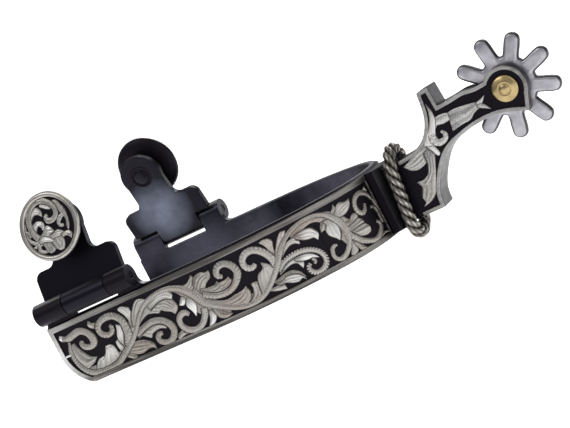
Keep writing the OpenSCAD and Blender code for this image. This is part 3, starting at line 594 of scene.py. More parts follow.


# Leaves of the band: two edges from base to tip, the number of veins, how bright the painted highlight is, and if
# blunt.
BAND_LEAVES = [
    ([[-56.6, -6.4], [-52, -7.2], [-47, -6.8], [-42, -6.2], [-38, -6]],
     [[-56, -9.4], [-50, -11], [-45, -10.6], [-40.5, -8.6], [-38, -7.4]], 2, -0.1, True),
    ([[-56.2, 3.4], [-55.6, 1.4], [-54.2, -1], [-52.4, -3.3], [-50, -4.4]],
     [[-58.4, 3], [-59.8, -1], [-58.8, -5], [-56.4, -7.4], [-54, -6.7], [-52, -6]], 2, -0.1),
    ([[-53, -9.4], [-51.4, -6.8], [-49.5, -5.4], [-48.3, -6.2], [-46.2, -4.3], [-44.8, -2]],
     [[-41, -9.4], [-41.2, -6.8], [-41.4, -4.4], [-42.2, -2.5]], 4, 0.5),
    ([[-39.6, -7], [-40.2, -4.4], [-40.1, -2.2], [-38.9, -1.6]], [[-36.4, -6], [-37.4, -3]], 2, 0.6),
    ([[-37.8, -5], [-38.7, -2.4], [-38.6, -0.4], [-37.6, 1.4], [-36.8, 3.6]],
     [[-34.4, -3.4], [-35, 0], [-35.1, 2.4]], 3, 0.8),
    ([[-37, -5], [-33, -5], [-30, -5.4], [-27.4, -6.8], [-26.2, -8.4], [-26.1, -10.4]],
     [[-39, -7.6], [-35, -9.4], [-32, -10], [-29, -9.3], [-27.4, -9.5]], 4, 0),
    ([[-38, -7.4], [-36, -8.8], [-34.7, -10]], [[-39.8, -8.4], [-37.6, -9.9], [-35.6, -11.2]], 2, 0.1),
    ([[-31.8, 0.4], [-31.4, 3], [-32, 5.6], [-33.4, 8.2], [-31.6, 9]],
     [[-29.2, 1.6], [-28.7, 5], [-29, 7.6]], 3, 0.5),
    ([[-31, 0.4], [-29.5, 4], [-27.1, 7.2], [-25, 8.8], [-22.8, 8.6], [-21.2, 7.4]],
     [[-28.3, 0.4], [-27, 2.4], [-25.7, 4], [-23.8, 6]], 3, 0.2),
    ([[-28, 1], [-22, 5.4], [-16, 6.6], [-12.2, 4.6], [-10.7, 1.8], [-11.1, -0.4], [-12.9, -1.7]],
     [[-29.8, -1.7], [-27.6, 0.1], [-23.6, 1.9], [-21, 1.6], [-18.7, 0.8], [-17.7, 1.7], [-16.3, 0.7],
      [-14.3, -0.2], [-13.4, -1.1]], 5, 0.1),
    ([[-22, 5.6], [-16, 7.6], [-12, 7], [-10.5, 5.4], [-11.4, 3.7]],
     [[-21, 3.2], [-17, 4.6], [-13.8, 4.7]], 3, 0.3),
    ([[-28.6, -2], [-24, -1.4], [-20, -2], [-18.2, -3.4], [-18.9, -5.1]], [[-31, -4.6], [-29, -4.2],
     [-27.5, -5.2], [-26, -6.1], [-24.8, -4.9], [-21.8, -4.2], [-20, -4.6]], 4, 0.2),
    ([[-8.2, 3], [-9, 1.8], [-9.9, 0.5]], [[-6.7, 2.8], [-7, 0.9], [-8.3, -0.1]], 2, 1),
    ([[-6.3, 1.6], [-7.4, -0.4], [-7, -2], [-6.2, -3.4], [-5.7, -5.5]],
     [[-4.8, 1.8], [-3.9, -0.6], [-3.9, -2.2], [-4.6, -3.8]], 3, 1),
    ([[-7, 6.6], [-4, 6.7], [-2.1, 7.5], [-0.4, 8.8]], [[-4, 3], [-1, 4.6], [0.2, 6.6]], 3, 0.2),
    ([[-1.4, 5.4], [0.6, 7.8], [3.5, 8.2], [5.3, 7.6], [6.7, 7.8]],
     [[0.6, 0.8], [2.4, 2.4], [4, 4], [5.8, 5], [6.5, 6.2]], 4, 0.1),
    ([[-0.6, -5.4], [-1.2, -8], [-2.9, -10.6]],
     [[1.6, -5.4], [1.7, -7.4], [0.7, -9.4], [-1, -10.5]], 2, 0.9),
    ([[1.2, -5.4], [2, -8.6], [3.4, -10], [5.6, -10.3], [7.7, -9.7]],
     [[3.3, -4.8], [4.4, -7.2], [5.8, -8.6]], 2, 0),
    ([[0.6, 2.8], [3, 2.2], [6, 2.1], [7.5, 2.9], [8.3, 2.1], [10.5, 2.2], [12.3, 2.8]],
     [[0.6, -0.6], [5, -1.8], [9, -1.8], [12, -0.4], [12.9, 1]], 4, 0),
    ([[2.6, -2.4], [7.5, -4.4], [11.4, -4], [13.6, -3.9], [15, -3.6], [16.4, -2.9]],
     [[3, -5.4], [8, -8], [12.6, -9], [15.6, -8], [17, -5.4]], 4, 0),
    ([[14.6, -9], [17.2, -7], [18.3, -4.6], [18.4, -3], [19.9, -2.8], [21.1, -3.3]],
     [[21, -9], [22.6, -6.6], [22.4, -4.6]], 3, 0.2),
    ([[20.4, -8.4], [20.8, -4.6], [21.3, -2.6], [22.2, -1.2], [24, -0.3], [24.8, 0.8], [24.9, 2.3]],
     [[26.8, -5.4], [28, -2], [27.6, -0.2], [26.5, 1.2]], 4, 0.1),
    ([[28.9, 2.4], [29.2, 5], [28.5, 7], [27.4, 8.8], [29.4, 9.1]],
     [[30.8, 2.4], [31.4, 5], [32, 7.4], [31, 8.8]], 3, 0.1),
    ([[30, 1.6], [32, 4.8], [34, 7.4], [35.8, 8.7], [37.6, 8.5]],
     [[32.8, 2.4], [34.2, 4.4], [35.8, 5.3], [36.3, 6.6]], 3, 0.3),
    ([[23.4, -7.8], [26.6, -7.7], [28.8, -8.2], [29.2, -10.2]],
     [[23.6, -8.6], [26, -9.5], [28, -9.9]], 2, 0.3),
    ([[26, -6.2], [29, -5.4], [33, -4.9], [36, -6.8], [36.9, -9.4]],
     [[27, -7.6], [30, -7], [34, -7.4]], 2, -0.4),
    ([[26.8, -6.6], [29, -6.9], [31, -6.2], [33.2, -6.4], [35.4, -7.7], [36.7, -10.2]],
     [[27.6, -8], [29.8, -8.2], [31.8, -9.3], [34, -9.8], [35.6, -9.2]], 3, 0.9),
    ([[29.4, -3.4], [32.4, -2.2], [35, -1.7], [37.6, -2.4], [38.5, -4.4], [37.4, -6.2]],
     [[29.2, -5], [31.6, -4], [34, -3.3], [36, -3.7], [36.8, -5]], 3, 0.7),
    ([[35.8, -1.7], [39.4, -1.9], [42, -2.9], [43.4, -4.1], [44, -5.4]],
     [[36.2, -3], [39.4, -4.2], [42, -4.5]], 2, 0.9),
    ([[38, 6.8], [42, 8.6], [47, 8.6], [51.6, 7], [54.6, 4.4]],
     [[38.4, 4.6], [42.6, 5.7], [46.6, 6.4], [49.6, 5.3], [53, 1.6]], 5, 0, True),
    ([[33.4, 1.6], [35.4, 4], [38.4, 5], [40.4, 4], [40, 1.8]],
     [[32.6, 0.2], [34.4, 1.7], [36.6, 2.8], [38.6, 2.7]], 3, 0.5),
    ([[39.4, 5.4], [42.6, 5.8], [45.8, 5.3], [47.4, 3.2], [47.5, 1.8], [46.4, 0.2]],
     [[39.6, 3.8], [41.6, 2.5], [43.6, 1.8], [45.4, 1.5]], 3, 0.9),
    ([[50.8, 5.4], [50.3, 2.6], [50.4, 0], [51.6, -1.6], [52.6, -2.6], [53.3, -3.6]],
     [[54.6, 4.4], [55.2, 1], [54.9, -1.2], [54.3, -2.4]], 3, 0.4),
    ([[50, 5.2], [48.9, 3.6], [48.5, 1.9]], [[51.2, 3.6], [50.2, 2.3]], 2, 0.3),
    ([[53.8, 5.6], [55.6, 7.2], [56.8, 8.7]], [[56.8, 4.4], [57.4, 6.6]], 2, 0.2),
    ([[55.6, 5.6], [57.8, 7.7], [59.4, 8.2], [61.4, 7.4], [63.5, 7.7]],
     [[56, 3.8], [58.8, 3.5], [61, 4.2], [62.8, 5.6]], 4, 0.2),
    ([[57.2, 0.8], [60, 1], [61.5, 2.2], [62.8, 2.4]],
     [[57.6, -2], [61, -1.2], [63.2, 0], [63.7, 1.4]], 2, 0.1),
    ([[57.6, -1.2], [61, -0.4], [63.6, 0], [65.1, -1.8]], [[58, -4], [61.6, -3.8], [64.4, -3.3]], 2, 0.1),
    ([[57.6, -3], [62, -2.6], [65, -2.7], [66.5, -4.6]],
     [[58.6, -5.2], [61.4, -6.1], [64, -6.7], [66, -6.2]], 2, 0.2),
    ([[56.4, -4.8], [55.8, -8], [54.7, -9.9], [55.6, -10.8]],
     [[58, -4.8], [58, -7.6], [57.7, -9.9]], 2, 0.1),
    ([[57.4, -4.8], [58, -8], [59, -10.4], [61.8, -10.9]],
     [[59.2, -4.8], [59.8, -7.4], [60.8, -9.4]], 2, 0.1),
    ([[66.4, -9.2], [70, -9.2], [72.6, -9], [74.3, -10.2]],
     [[66.4, -10.4], [69, -10.5], [71.8, -9.8]], 2, 0),
    ([[70, 6.4], [71.2, 7.6], [72.4, 8.4]], [[72, 5], [73, 6.8]], 2, 0.1),
    ([[-57.4, 6.8], [-59, 7.3], [-60.3, 8.1], [-61.1, 7]],
     [[-57.6, 4.6], [-59.2, 5.2], [-60.6, 5.8]], 1, 0.8),
    ([[-43.6, 7.4], [-45.4, 7.6], [-46.4, 8.9], [-47.5, 7.9]],
     [[-44.4, 5], [-46, 5.4], [-47.3, 6.4]], 1, 0.2),
    ([[-12.2, -7.2], [-14.2, -8.1], [-15.8, -8.9], [-16.4, -10.1], [-15.4, -11.1]],
     [[-10.6, -10], [-12.6, -10.1], [-14.4, -10.4]], 1, 0.1)]

# Curls of the band: [along, height, width] from base to end, how bold the hatching is, how bright the painted
# highlight is.
BAND_CURLS = [
    ([[-58, 4.4, 0.9], [-59.2, 0.8, 1.7], [-59, -3, 1.9], [-57.7, -6.4, 2.1], [-55, -9.1, 2.2],
      [-51, -10.3, 2.3], [-46.6, -10.4, 2.3], [-42.6, -9.5, 2.3], [-39, -7.5, 2.3], [-36, -5.6, 2]], 0.1,
      0.1),
    ([[-59.6, 6.4, 1.4], [-57.4, 5.9, 2.6], [-55, 6.4, 2.7], [-52, 6.8, 2.7], [-49.6, 5.5, 2.7],
      [-48.2, 3, 3], [-48.6, 0.7, 2.8], [-50.6, -0.1, 2.2], [-52.7, 0.7, 2.3], [-53.3, 2.2, 2],
      [-52.7, 3.1, 1.2]], 0, 0),
    ([[-35.6, -5.2, 3.6], [-34.2, -2, 3.4], [-33.7, 1, 3], [-33.9, 4.2, 2.9], [-36.2, 6.8, 2.8],
      [-39.2, 7.4, 2.6], [-42, 6.9, 2.4], [-44, 5.4, 2.3], [-44.2, 3.4, 2.4], [-43.2, 1.9, 2.4],
      [-41.4, 1.2, 2.1], [-39.6, 1.8, 2], [-38.9, 3.2, 1.8], [-39.4, 4.2, 1.3]], 0, 0),
    ([[-31, -3, 2.2], [-26, -1.4, 2.4], [-22, -1, 2.5], [-18.6, -2.2, 2.6], [-16.6, -4.6, 2.8],
      [-16.5, -7, 2.6], [-18.2, -9.2, 2.5], [-20.8, -9.9, 2.2], [-23.2, -8.7, 2.2], [-23.6, -7, 2.1],
      [-22.5, -6, 2], [-21.2, -6.1, 1.5]], 0, 0),
    ([[-1.6, -4, 2.4], [-2.6, -6.4, 2.4], [-5, -8.8, 2.3], [-7.8, -9.7, 2.2], [-10.2, -9.2, 2.4],
      [-11.8, -8, 2.4], [-12.8, -6.2, 2.2], [-12.6, -4.1, 2.2], [-11.1, -2.8, 2.3], [-9.2, -2.7, 2.2],
      [-8.1, -3.8, 1.5]], 0.1, 0),
    ([[0.6, 0.6, 2.4], [4.5, -1.5, 2.2], [8, -2.2, 2.2], [11.4, -1.7, 2.3], [14.2, 0.2, 2.6],
      [15.9, 3, 2.8], [14.9, 6, 2.7], [12.4, 7.6, 2.5], [9.8, 7.1, 2.5], [8.7, 5.4, 2.3], [9.2, 4.1, 2],
      [10.4, 3.7, 1.3]], 0, 0),
    ([[29.4, -1, 2.6], [28.8, 2.4, 2.6], [26.9, 5.6, 2.7], [24.2, 7.4, 2.6], [21.6, 7.4, 2.5],
      [19.6, 6, 2.4], [19.1, 4, 2.3], [20, 2.4, 2.3], [21.7, 1.9, 2], [23, 2.7, 1.4]], 0, 0),
    ([[29.4, -3.2, 1.6], [32.2, -1.4, 1.9], [35, -0.6, 2], [38.6, -0.5, 2], [42, -1.4, 2],
      [44.6, -3.2, 1.9], [45.9, -5.8, 2], [45.4, -8.3, 2.1], [43.4, -9.8, 2.1], [41, -9.8, 2],
      [39.4, -8.3, 1.9], [39.3, -6.7, 1.7], [40.3, -6, 1.2]], 1, 0.2),
    ([[41.6, -4.8, 0.9], [42.3, -5.8, 1.1], [41.6, -6.6, 0.9]], 0, 0.1),
    ([[57.6, -3.6, 2.2], [60.6, -7.2, 2.2], [63.6, -9, 2], [66.8, -9.8, 2], [69.6, -8.7, 1.8],
      [71.6, -6.8, 1.6], [71.6, -5.2, 1.3], [70.6, -4.5, 1]], 0, 0),
    ([[73.8, 2.8, 1], [72.6, 5, 1.3], [71, 6.5, 1.7], [68.6, 7.3, 1.8], [66, 6.5, 1.9], [64.6, 4.4, 1.9],
      [64.8, 2, 2], [66.3, 0.7, 1.8], [68, 1.3, 1.5], [69.1, 3.1, 1]], 0, 0),
    ([[73.9, 3, 1], [74.1, 0, 1], [73.5, -3, 1.1], [73.4, -6, 1]], 0, -0.2),
    ([[73.6, -1.8, 1], [72.8, 0.4, 1.1], [71.2, 0.9, 0.9]], 0, 0)]

# Broad places of the main stem, where leaves spring from it.
BAND_BODIES = [
    ([[-13, 8.4], [-8, 7.7], [-3.4, 5.6], [0.6, 2.4], [4, -2.6], [8, -7.4]],
     [[-13, 7.2], [-9.2, 5.4], [-7, 2], [-5.4, -2.4], [-3.6, -5.6], [1, -7.6], [7, -9.4]]),
    ([[1.6, -3], [6, -5], [11, -5.4], [16, -6.4], [20, -5.6], [24.4, -2.6], [27.6, 0.4]],
     [[2, -4.6], [7, -7.6], [11, -9.2], [15, -10], [19, -9.8], [24, -7.4], [29, -2.4]]),
    ([[-27, 2.4], [-22, 5], [-17, 6], [-12.6, 6.4]], [[-26, 3.8], [-21, 7], [-16, 8.2], [-12, 8.2]]),
    ([[46, 8.7], [51, 8.3], [55, 6.8], [57.8, 3.4], [58.8, -0.6], [58.4, -5], [57.4, -9.4]],
     [[46, 7], [49.6, 5.6], [51.4, 2], [52.8, -1.6], [54.4, -4.8], [55.2, -7], [55.4, -9.4]]),
    ([[56.4, 5.6], [58.4, 3.4], [59.8, 1.6], [61.4, 1]],
     [[57.4, -3.4], [59.4, -3.6], [61.6, -3], [63, -2.4]]),
    ([[-38, -5], [-36, -2.6], [-33.6, 0.4], [-31.6, 2.6]],
     [[-34, -5.4], [-31, -2.6], [-28.6, 0.6], [-27.6, 2]])]

# The main stem of the band. It winds from behind the toe to a curl at the heel.
BAND_STEM = [
    [-38.6, -7.4, 2], [-34, -4.4, 2.6], [-30, -0.9, 2.2], [-26.6, 3, 2.2], [-22.5, 6, 2.2],
    [-17.6, 7.6, 2.2], [-12.6, 7.9, 2.4], [-8.4, 6.8, 2.8], [-5.2, 4.6, 3.4], [-2.6, 1.4, 3.8],
    [-0.4, -2, 3.8], [2.6, -4.4, 3], [6.4, -6.8, 2.6], [10.6, -8.8, 2.4], [14.8, -9.7, 2.3],
    [19, -9.4, 2.2], [22.8, -7.6, 2.3], [26.2, -4.8, 2.6], [29.4, -1.6, 2.8], [31.6, 1.4, 3],
    [34.4, 4.6, 2.6], [38.4, 7.1, 2.2], [42.6, 8.5, 1.8], [47, 8.8, 1.6], [51.2, 7.6, 2], [54.4, 5, 3],
    [56.6, 1.4, 3.4], [57, -2.4, 3.2], [56.1, -5.6, 2.3], [54, -8.4, 2.2], [51.4, -9.7, 2.1],
    [49.5, -8.8, 2.1], [48.9, -7, 2.1], [49.4, -5.2, 2], [50.6, -4.4, 1.7], [51.6, -4.6, 1.1]]


CELL = 0.13
FINE_CELL = 0.1
TOE_LINE = [[-64.2, -0.15, 0.8], [-61, -0.15, 0.8], [-59.6, -0.15, 0.8]]
STEM_SHARE = 0.74


def band_relief():
    """The whole scroll of one side, on the unrolled band. Positions run from the toe to the heel."""
    art = Relief((-64.2, -10.5), (75.2, 9.7), CELL)
    for body in BAND_BODIES:
        art.leaf(*body, veins=0, highlight=-0.15, blunt=True, lift=0.02, rim=0.05, peck=0.8)
    for leaf in BAND_LEAVES:
        art.leaf(*leaf)
    for keys, bold, highlight in BAND_CURLS:
        art.stem(keys, bold=bold, highlight=highlight)
    art.stem(TOE_LINE, stipple=0, highlight=1)
    stem = [[x, y, STEM_SHARE * width] for x, y, width in BAND_STEM]
    art.stem(stem, stipple=1, highlight=0.05, depth=0.12, outline=0.1)
    art.finish()
    return art


band_art = band_relief()
for side, name in SIDES:
    silver = band_art.mesh(name + "_band_engraving",
                           lambda x, y, h, s=side: band_point(x, y, h, s), side > 0)
    add(silver, "spur_band", "engraved_silver", name + "_band_scroll")


# ---- scrollwork on the shank ----

def shank_relief():
    """Leaves and stems on the side of the shank."""
    art = Relief((44, -12), (105, 31), CELL)
    art.leaf([[72.3, 19.3], [75, 19.5], [79, 19.1], [82, 18.6], [84.4, 18]],
             [[71, 12.5], [75, 13.2], [78.6, 13.6], [81, 15.2], [84.4, 16.4]], 2, blunt=True,
             lift=0.1, rim=0.2, peck=0.8)
    art.leaf([[83, 18.2], [85.4, 18.8], [86.8, 19.4]], [[83, 16.8], [85, 17.2]], 1, 0.1)
    art.leaf([[83, 17.2], [85.2, 16.8], [86.9, 14.1]], [[83, 16], [84.4, 15.4]], 1, 0.3)
    art.leaf([[60.2, 11.4], [58.6, 12.2], [56, 12], [53, 10.6], [51, 9.2], [48.3, 8.2]],
             [[59.4, 8.4], [57.4, 6.6], [55, 5.5], [52.5, 5.2], [50, 6.2]], 4, 0.1, peck=0.4)
    art.leaf([[60.8, 10.8], [61.1, 8], [60, 5], [58.4, 1.4], [56.8, -1.8], [55, -5], [52, -7],
              [48.8, -7.7]],
             [[57.4, 9.6], [57, 6], [56.3, 4], [55.2, 2.2], [52.6, 1.2], [50.4, 1.2], [51.2, -0.8],
              [50.4, -2.6], [49.6, -4.4], [50, -6.2]], 3, 0.1, lift=0.2, peck=0.6)
    art.stem([[60.2, 11.8, 1.5], [61.2, 10.4, 1.9], [61.9, 9, 1.9], [62.3, 7.7, 1.7],
              [62.4, 6.9, 0.9]], 0, highlight=0.8)
    art.leaf([[65.2, 16], [65.6, 18.8], [68, 19.6], [70, 19.7], [72, 19.3]],
             [[65.2, 15.4], [66.6, 16.6], [68.4, 16.3], [70, 16.3], [71.6, 16.6]],
             1, 0.3, blunt=True, lift=0.05, rim=0.1, peck=0.9)
    art.leaf([[66.3, 25.2], [65.5, 21], [64, 18], [61.7, 15.4], [59.6, 13.4], [58.8, 12]],
             [[66.3, 25.2], [67.1, 22], [67, 19.4], [66, 17], [64.6, 14], [63.4, 11.6], [61, 11]], 0, 0.9,
             lift=0.05, rim=0.2, peck=0.6)
    art.stem([[63.2, 14.6, 2.6], [63.2, 12.4, 3], [64.2, 11, 2.6], [65.9, 10.8, 2.2],
              [67.4, 11.5, 1.9], [67.9, 12.8, 1.6], [67.3, 13.9, 1.1], [66.7, 14, 0.7]],
             0.8, highlight=0.2, depth=0.2)
    art.finish()
    return art


shank_art = shank_relief()
for side, name in SIDES:
    def on_shank(x, y, h, s=side):
        return np.stack([x, s * (SHANK_HALF - FIT_GAP + h), y], 1)
    silver = shank_art.mesh(name + "_shank_engraving", on_shank, side > 0)
    add(silver, "spur_band", "engraved_silver", name + "_shank_leaf")


# ---- rope ----

ROPE_LO, ROPE_HI = box_mm("rope_collar")
ROPE_CENTRE = (ROPE_LO + ROPE_HI) / 2
ROPE_D = 4.2
ROPE_R = ROPE_HI[1] - ROPE_D / 2
ROPE_TILT = math.radians(6)
ROPE_HALF_SIDE = 8.2
LOW_BEND = 0.93
STRANDS, STRAND_R, STRAND_OFF, STRAND_TURNS = 3, 1.36, 1.18, 7
WIRES, WIRE_TURNS, WIRE_DEPTH = 5, 9, 0.10
ROPE_STEPS, STRAND_STEPS = 360, 20


def rope_ring(s):
    """Places along the oval ring, and which way is out from it there."""
    side, bend = 2 * ROPE_HALF_SIDE, math.pi * ROPE_R
    angle = (np.clip(s - side, 0, bend) + np.clip(s - 2 * side - bend, 0, bend)) / ROPE_R
    rise = np.clip(s, 0, side) - np.clip(s - side - bend, 0, side) - ROPE_HALF_SIDE
    out = np.stack([0 * s, np.cos(angle), np.sin(angle)], 1)
    centre = ROPE_R * out
    centre[:, 2] = np.where(centre[:, 2] < 0, LOW_BEND * centre[:, 2], centre[:, 2]) + rise
    return centre, out


def rope():
    """Three strands twisted round the ring. Each strand shows its fine wires."""
    girth = 4 * ROPE_HALF_SIDE + 2 * math.pi * ROPE_R
    s = np.linspace(0, girth, ROPE_STEPS, endpoint=False)
    ring, out = rope_ring(s)
    theta = 2 * math.pi * np.arange(STRAND_STEPS) / STRAND_STEPS
    cos, sin = np.cos(theta), np.sin(theta)
    strand_faces = wrapped_faces(ROPE_STEPS, STRAND_STEPS, True)[:, ::-1]
    points, faces, dark, light = [], [], [], []
    for k in range(STRANDS):
        phase = 2 * math.pi * (STRAND_TURNS * s / girth + k / STRANDS)[:, None]
        away = np.cos(phase) * out + np.sin(phase) * (1, 0, 0)
        line = ring + STRAND_OFF * away
        along = unit(np.roll(line, -1, 0) - np.roll(line, 1, 0))
        away = unit(away - (away * along).sum(1)[:, None] * along)
        across = np.cross(along, away)
        wires = 0.5 + 0.5 * np.cos(WIRES * theta - WIRE_TURNS * phase)
        radius = STRAND_R * (1 - WIRE_DEPTH * (1 - wires))
        spoke = cos[:, None] * away[:, None] + sin[:, None] * across[:, None]
        points.append((line[:, None] + radius[..., None] * spoke).reshape(-1, 3))
        faces.append(strand_faces + k * len(points[0]))
        dark.append(np.clip(0.6 * (1 - wires) + ramp(cos, 0.8, -0.2), 0, 1))
        # Painted highlight along the outer crest of each strand.
        light.append(0.8 * np.clip(cos, 0, 1) ** 8 * wires)
    tilt = np.array(Matrix.Rotation(ROPE_TILT, 3, "Y"))
    obj = mesh_object("rope_twist", np.vstack(points) @ tilt.T + ROPE_CENTRE, np.vstack(faces))
    paint(obj, engraving=dark, tone=light)
    return obj


add(rope(), "spur_band", "rope_silver", "rope_collar")


# ---- rowel ----

ROWEL_R, ROWEL_T, ROWEL_POINTS = 18.8, 3.2, 9
ROWEL_TURN = math.radians(19)
ROWEL_ROOT_R = 0.56 * ROWEL_R
ROWEL_BORE_R = 1.96
POINT_W, POINT_TIP_R = 5.54, 2.9
ROWEL_STEPS, SOFT_STEPS = 1200, 13
# The bevel and the face, from the edge to the bore: the place and the share of the half thickness.
BEVEL = ((0.0, 0.10), (0.06, 0.45), (0.28, 0.74), (0.66, 0.93), (1.15, 1.0))
FACE = ((0.25, 0.99), (0.6, 0.976), (0.9, 0.964), (1.0, 0.9))


def rowel_edge():
    """The outline of the points: flat flanks, round tips and softened roots."""
    a = 2 * math.pi * np.arange(ROWEL_STEPS) / ROWEL_STEPS
    step = 2 * math.pi / ROWEL_POINTS
    local = (a - ROWEL_TURN + step / 2) % step - step / 2
    sin, cos = np.maximum(np.abs(np.sin(local)), 1e-6), np.cos(local)
    tip_x = ROWEL_R - POINT_TIP_R
    flank = np.minimum(POINT_W / 2 / sin, tip_x * cos)
    chord = POINT_TIP_R ** 2 - (tip_x * sin) ** 2
    tip = np.where(chord > 0, tip_x * cos + np.sqrt(np.maximum(chord, 0)), 0)
    r = np.maximum(np.maximum(flank, tip), ROWEL_ROOT_R)
    margin = SOFT_STEPS // 2
    r = np.convolve(np.pad(r, margin, "wrap"), np.ones(SOFT_STEPS) / SOFT_STEPS, "valid")
    return a, np.stack([r * np.cos(a), r * np.sin(a)], 1)


def rowel():
    """A flat wheel with round-tipped points and a soft bevel all round."""
    a, edge = rowel_edge()
    along = unit(np.roll(edge, -1, 0) - np.roll(edge, 1, 0))
    inward = np.stack([-along[:, 1], along[:, 0]], 1)
    bore = ROWEL_BORE_R * np.stack([np.cos(a), np.sin(a)], 1)
    rings = [(edge + inward * inset, share) for inset, share in BEVEL]
    face_edge = rings[-1][0]
    rings += [(face_edge * (1 - f) + bore * f, share) for f, share in FACE]
    loops = [(xy, -share) for xy, share in rings[::-1]] + rings
    points = [np.insert(xy, 1, share * ROWEL_T / 2, axis=1) for xy, share in loops]
    faces = wrapped_faces(len(loops), ROWEL_STEPS, True)[:, ::-1]
    return mesh_object("rowel_wheel", np.vstack(points) + ROWEL_C, faces)


add(rowel(), "rowel", "rowel_steel", "rowel")


# ---- rowel pin ----

PIN_R, PIN_END = 1.9, -4
PIN_CONE = [[4.75, -0.01], [4.85, 0.25], [4.75, 0.6], [4.45, 0.88], [4.0, 1.06], [3.3, 1.3],
            [2.6, 1.52], [2.25, 1.5], [2.02, 1.4]]
PIN_DOME_BASE, PIN_DOME_H = 1.42, 0.75


def dome(radius, base, height, start, count):
    """A low round cap, from near its edge to near its middle."""
    turns = np.linspace(start, 1.56, count)
    return [[radius * math.cos(t), base + height * math.sin(t)] for t in turns]


def pin_head(name, side):
    """A low cone with a round edge and a small dome in the middle."""
    cap = dome(PIN_R, PIN_DOME_BASE, PIN_DOME_H, 0.1, 12)
    top = [0.01, PIN_DOME_BASE + PIN_DOME_H]
    profile = [[PIN_R, PIN_END], [PIN_R, -0.01], *PIN_CONE, *cap, top]
    return lathe(name, profile, lambda p: np.stack(
        [p[:, 0], side * (SHANK_HALF + p[:, 2]), p[:, 1] * side], 1) + ROWEL_C)


for side, name in SIDES:
    replaced = ["rowel_pin"] if side > 0 else []
    add(pin_head(name + "_pin_head", side), "spur_band", "brass", *replaced)


# ---- buttons ----

STUD_H = 27.5
DISC_FACE = 5.2
BUTTON_R = 12.5
RIM_W = 2.0


def on_button(side):
    """The mapping from a drawing on the button's face to its place. Height stands outward."""
    def place(x, y, h):
        ly, lz = DISC_FACE + h, STUD_H + y
        wy = HINGE_C[1] + ly * math.cos(LEAN) - lz * math.sin(LEAN)
        wz = HINGE_C[2] + ly * math.sin(LEAN) + lz * math.cos(LEAN)
        return np.stack([LEAF_X + x, side * wy, wz], 1)
    return place


def button_relief():
    """A big scroll with two inner leaves, a leaf on each side and a spray of leaves below."""
    art = Relief((-11.6, -11.6), (11.6, 11.6), FINE_CELL)
    art.leaf([[-7, 5.6], [-5.4, 7.6], [-2.6, 8.3], [-1.1, 6.4], [-1.5, 4.3]],
             [[-7, 3.6], [-5.8, 5], [-4.6, 5.8], [-3, 5.5]], 3, 0.1)
    art.leaf([[-7, 2.8], [-4.6, 3.6], [-2.6, 3], [-1.8, 1.8], [-2.2, 0.2], [-3.2, -0.4]],
             [[-7, -0.6], [-6, 0], [-5.3, 1], [-4.3, 1.6], [-3.5, 0.7]], 3, 0.6)
    art.leaf([[4.2, 7.4], [1.6, 9.4], [-0.2, 8.9], [-1.2, 7.9]], [[4, 6.4], [2.7, 5.6], [1, 6.2]], 3, 0.5)
    art.stem([[-5.4, -3.4, 2.6], [-7.2, -0.6, 2.4], [-7.9, 3, 2.3], [-6.8, 6.8, 2.3],
              [-4.2, 9.2, 2.2], [-0.8, 10, 2.2], [2.4, 8.6, 2.1], [4.4, 6, 2], [4.4, 3.2, 2],
              [2.4, 1.8, 2.1], [0.2, 2.1, 2.2], [-0.2, 3.6, 1.6], [0.7, 4.2, 1.1]], 0.3)
    art.leaf([[4.8, 8.2], [6.4, 7.8], [7.6, 5.6], [8.4, 3.4], [8.6, 0.4], [8.2, -2.4], [7.2, -4.2]],
             [[4.8, 7.6], [5.7, 5.6], [6, 3.2], [6.9, 1.4], [7.4, -0.6], [6.8, -2.6]], 3, 0.1)
    art.stem([[7.2, 2, 1.4], [5.4, 1.3, 1.7], [4.2, 0, 1.5], [4.6, -1.4, 1.3], [5.8, -1.7, 1]], 0)
    art.stem([[-8, 9, 0.8], [-9.4, 6.8, 1.3], [-10.2, 4, 1.5], [-10.6, 0.8, 1.5], [-10, -1.8, 1.4],
              [-8, -3.6, 1.4], [-5.6, -4.2, 1.2]], 0)
    art.stem([[-10.4, 1.8, 1], [-9.3, 0.6, 1.2], [-9.2, -0.9, 1]], 0)
    art.leaf([[-4.8, -3.4], [-7.6, -4.3], [-10, -4.9]], [[-4.6, -5], [-7, -5.7]], 2, 0.4)
    art.stem([[-7, -5, 1.6], [-7.2, -6.6, 1.5], [-5.8, -7.8, 1.3], [-4.2, -8, 1]], 0)
    art.leaf([[-6, -3], [-4, -1.6], [-1.6, -1], [1, -2.6], [4, -3.4]],
             [[-5, -6], [-4, -8], [-1.6, -8.4], [1.4, -8.6], [3.8, -6.6]], 0, blunt=True, lift=0.05,
             rim=0.1, peck=0.5)
    art.leaf([[-6, -2.6], [-3.6, -1.2], [-1.4, 0.6], [0.4, -0.4], [1.5, -2.6]],
             [[-6, -4.6], [-3, -5], [0.4, -4.6]], 4, 0.2)
    art.leaf([[-1, -3], [1, -2.6], [2.6, -2.1], [4.2, -3], [5.2, -4.2]],
             [[-1, -5.4], [1.6, -6], [4, -5.6]], 3, 0.2)
    art.leaf([[3.4, -4.4], [5.4, -4], [7.2, -4.3], [8, -5.8], [7, -7.4]],
             [[3.4, -5.8], [5.2, -5.6], [6.2, -6.2]], 2, 0)
    art.leaf([[-5.6, -4], [-4.9, -6.4], [-4.2, -8.4], [-3, -9.3]],
             [[-1.4, -4.6], [-0.8, -7], [-1.3, -9]], 3, 0.3)
    art.leaf([[-1.8, -4.8], [-0.6, -8], [1, -9.7], [2.8, -9.6]],
             [[3.6, -5], [3.9, -6.8], [3.5, -8.4]], 3, 0.1)
    art.leaf([[-6.4, -3], [-4, -2.4], [-1.6, -3.6], [0, -5.6]],
             [[-6.2, -4.6], [-4, -4.8], [-2, -5.4]], 3, 0.7)
    art.clip(np.hypot(art.gx, art.gy) < BUTTON_R - RIM_W)
    art.finish()
    return art


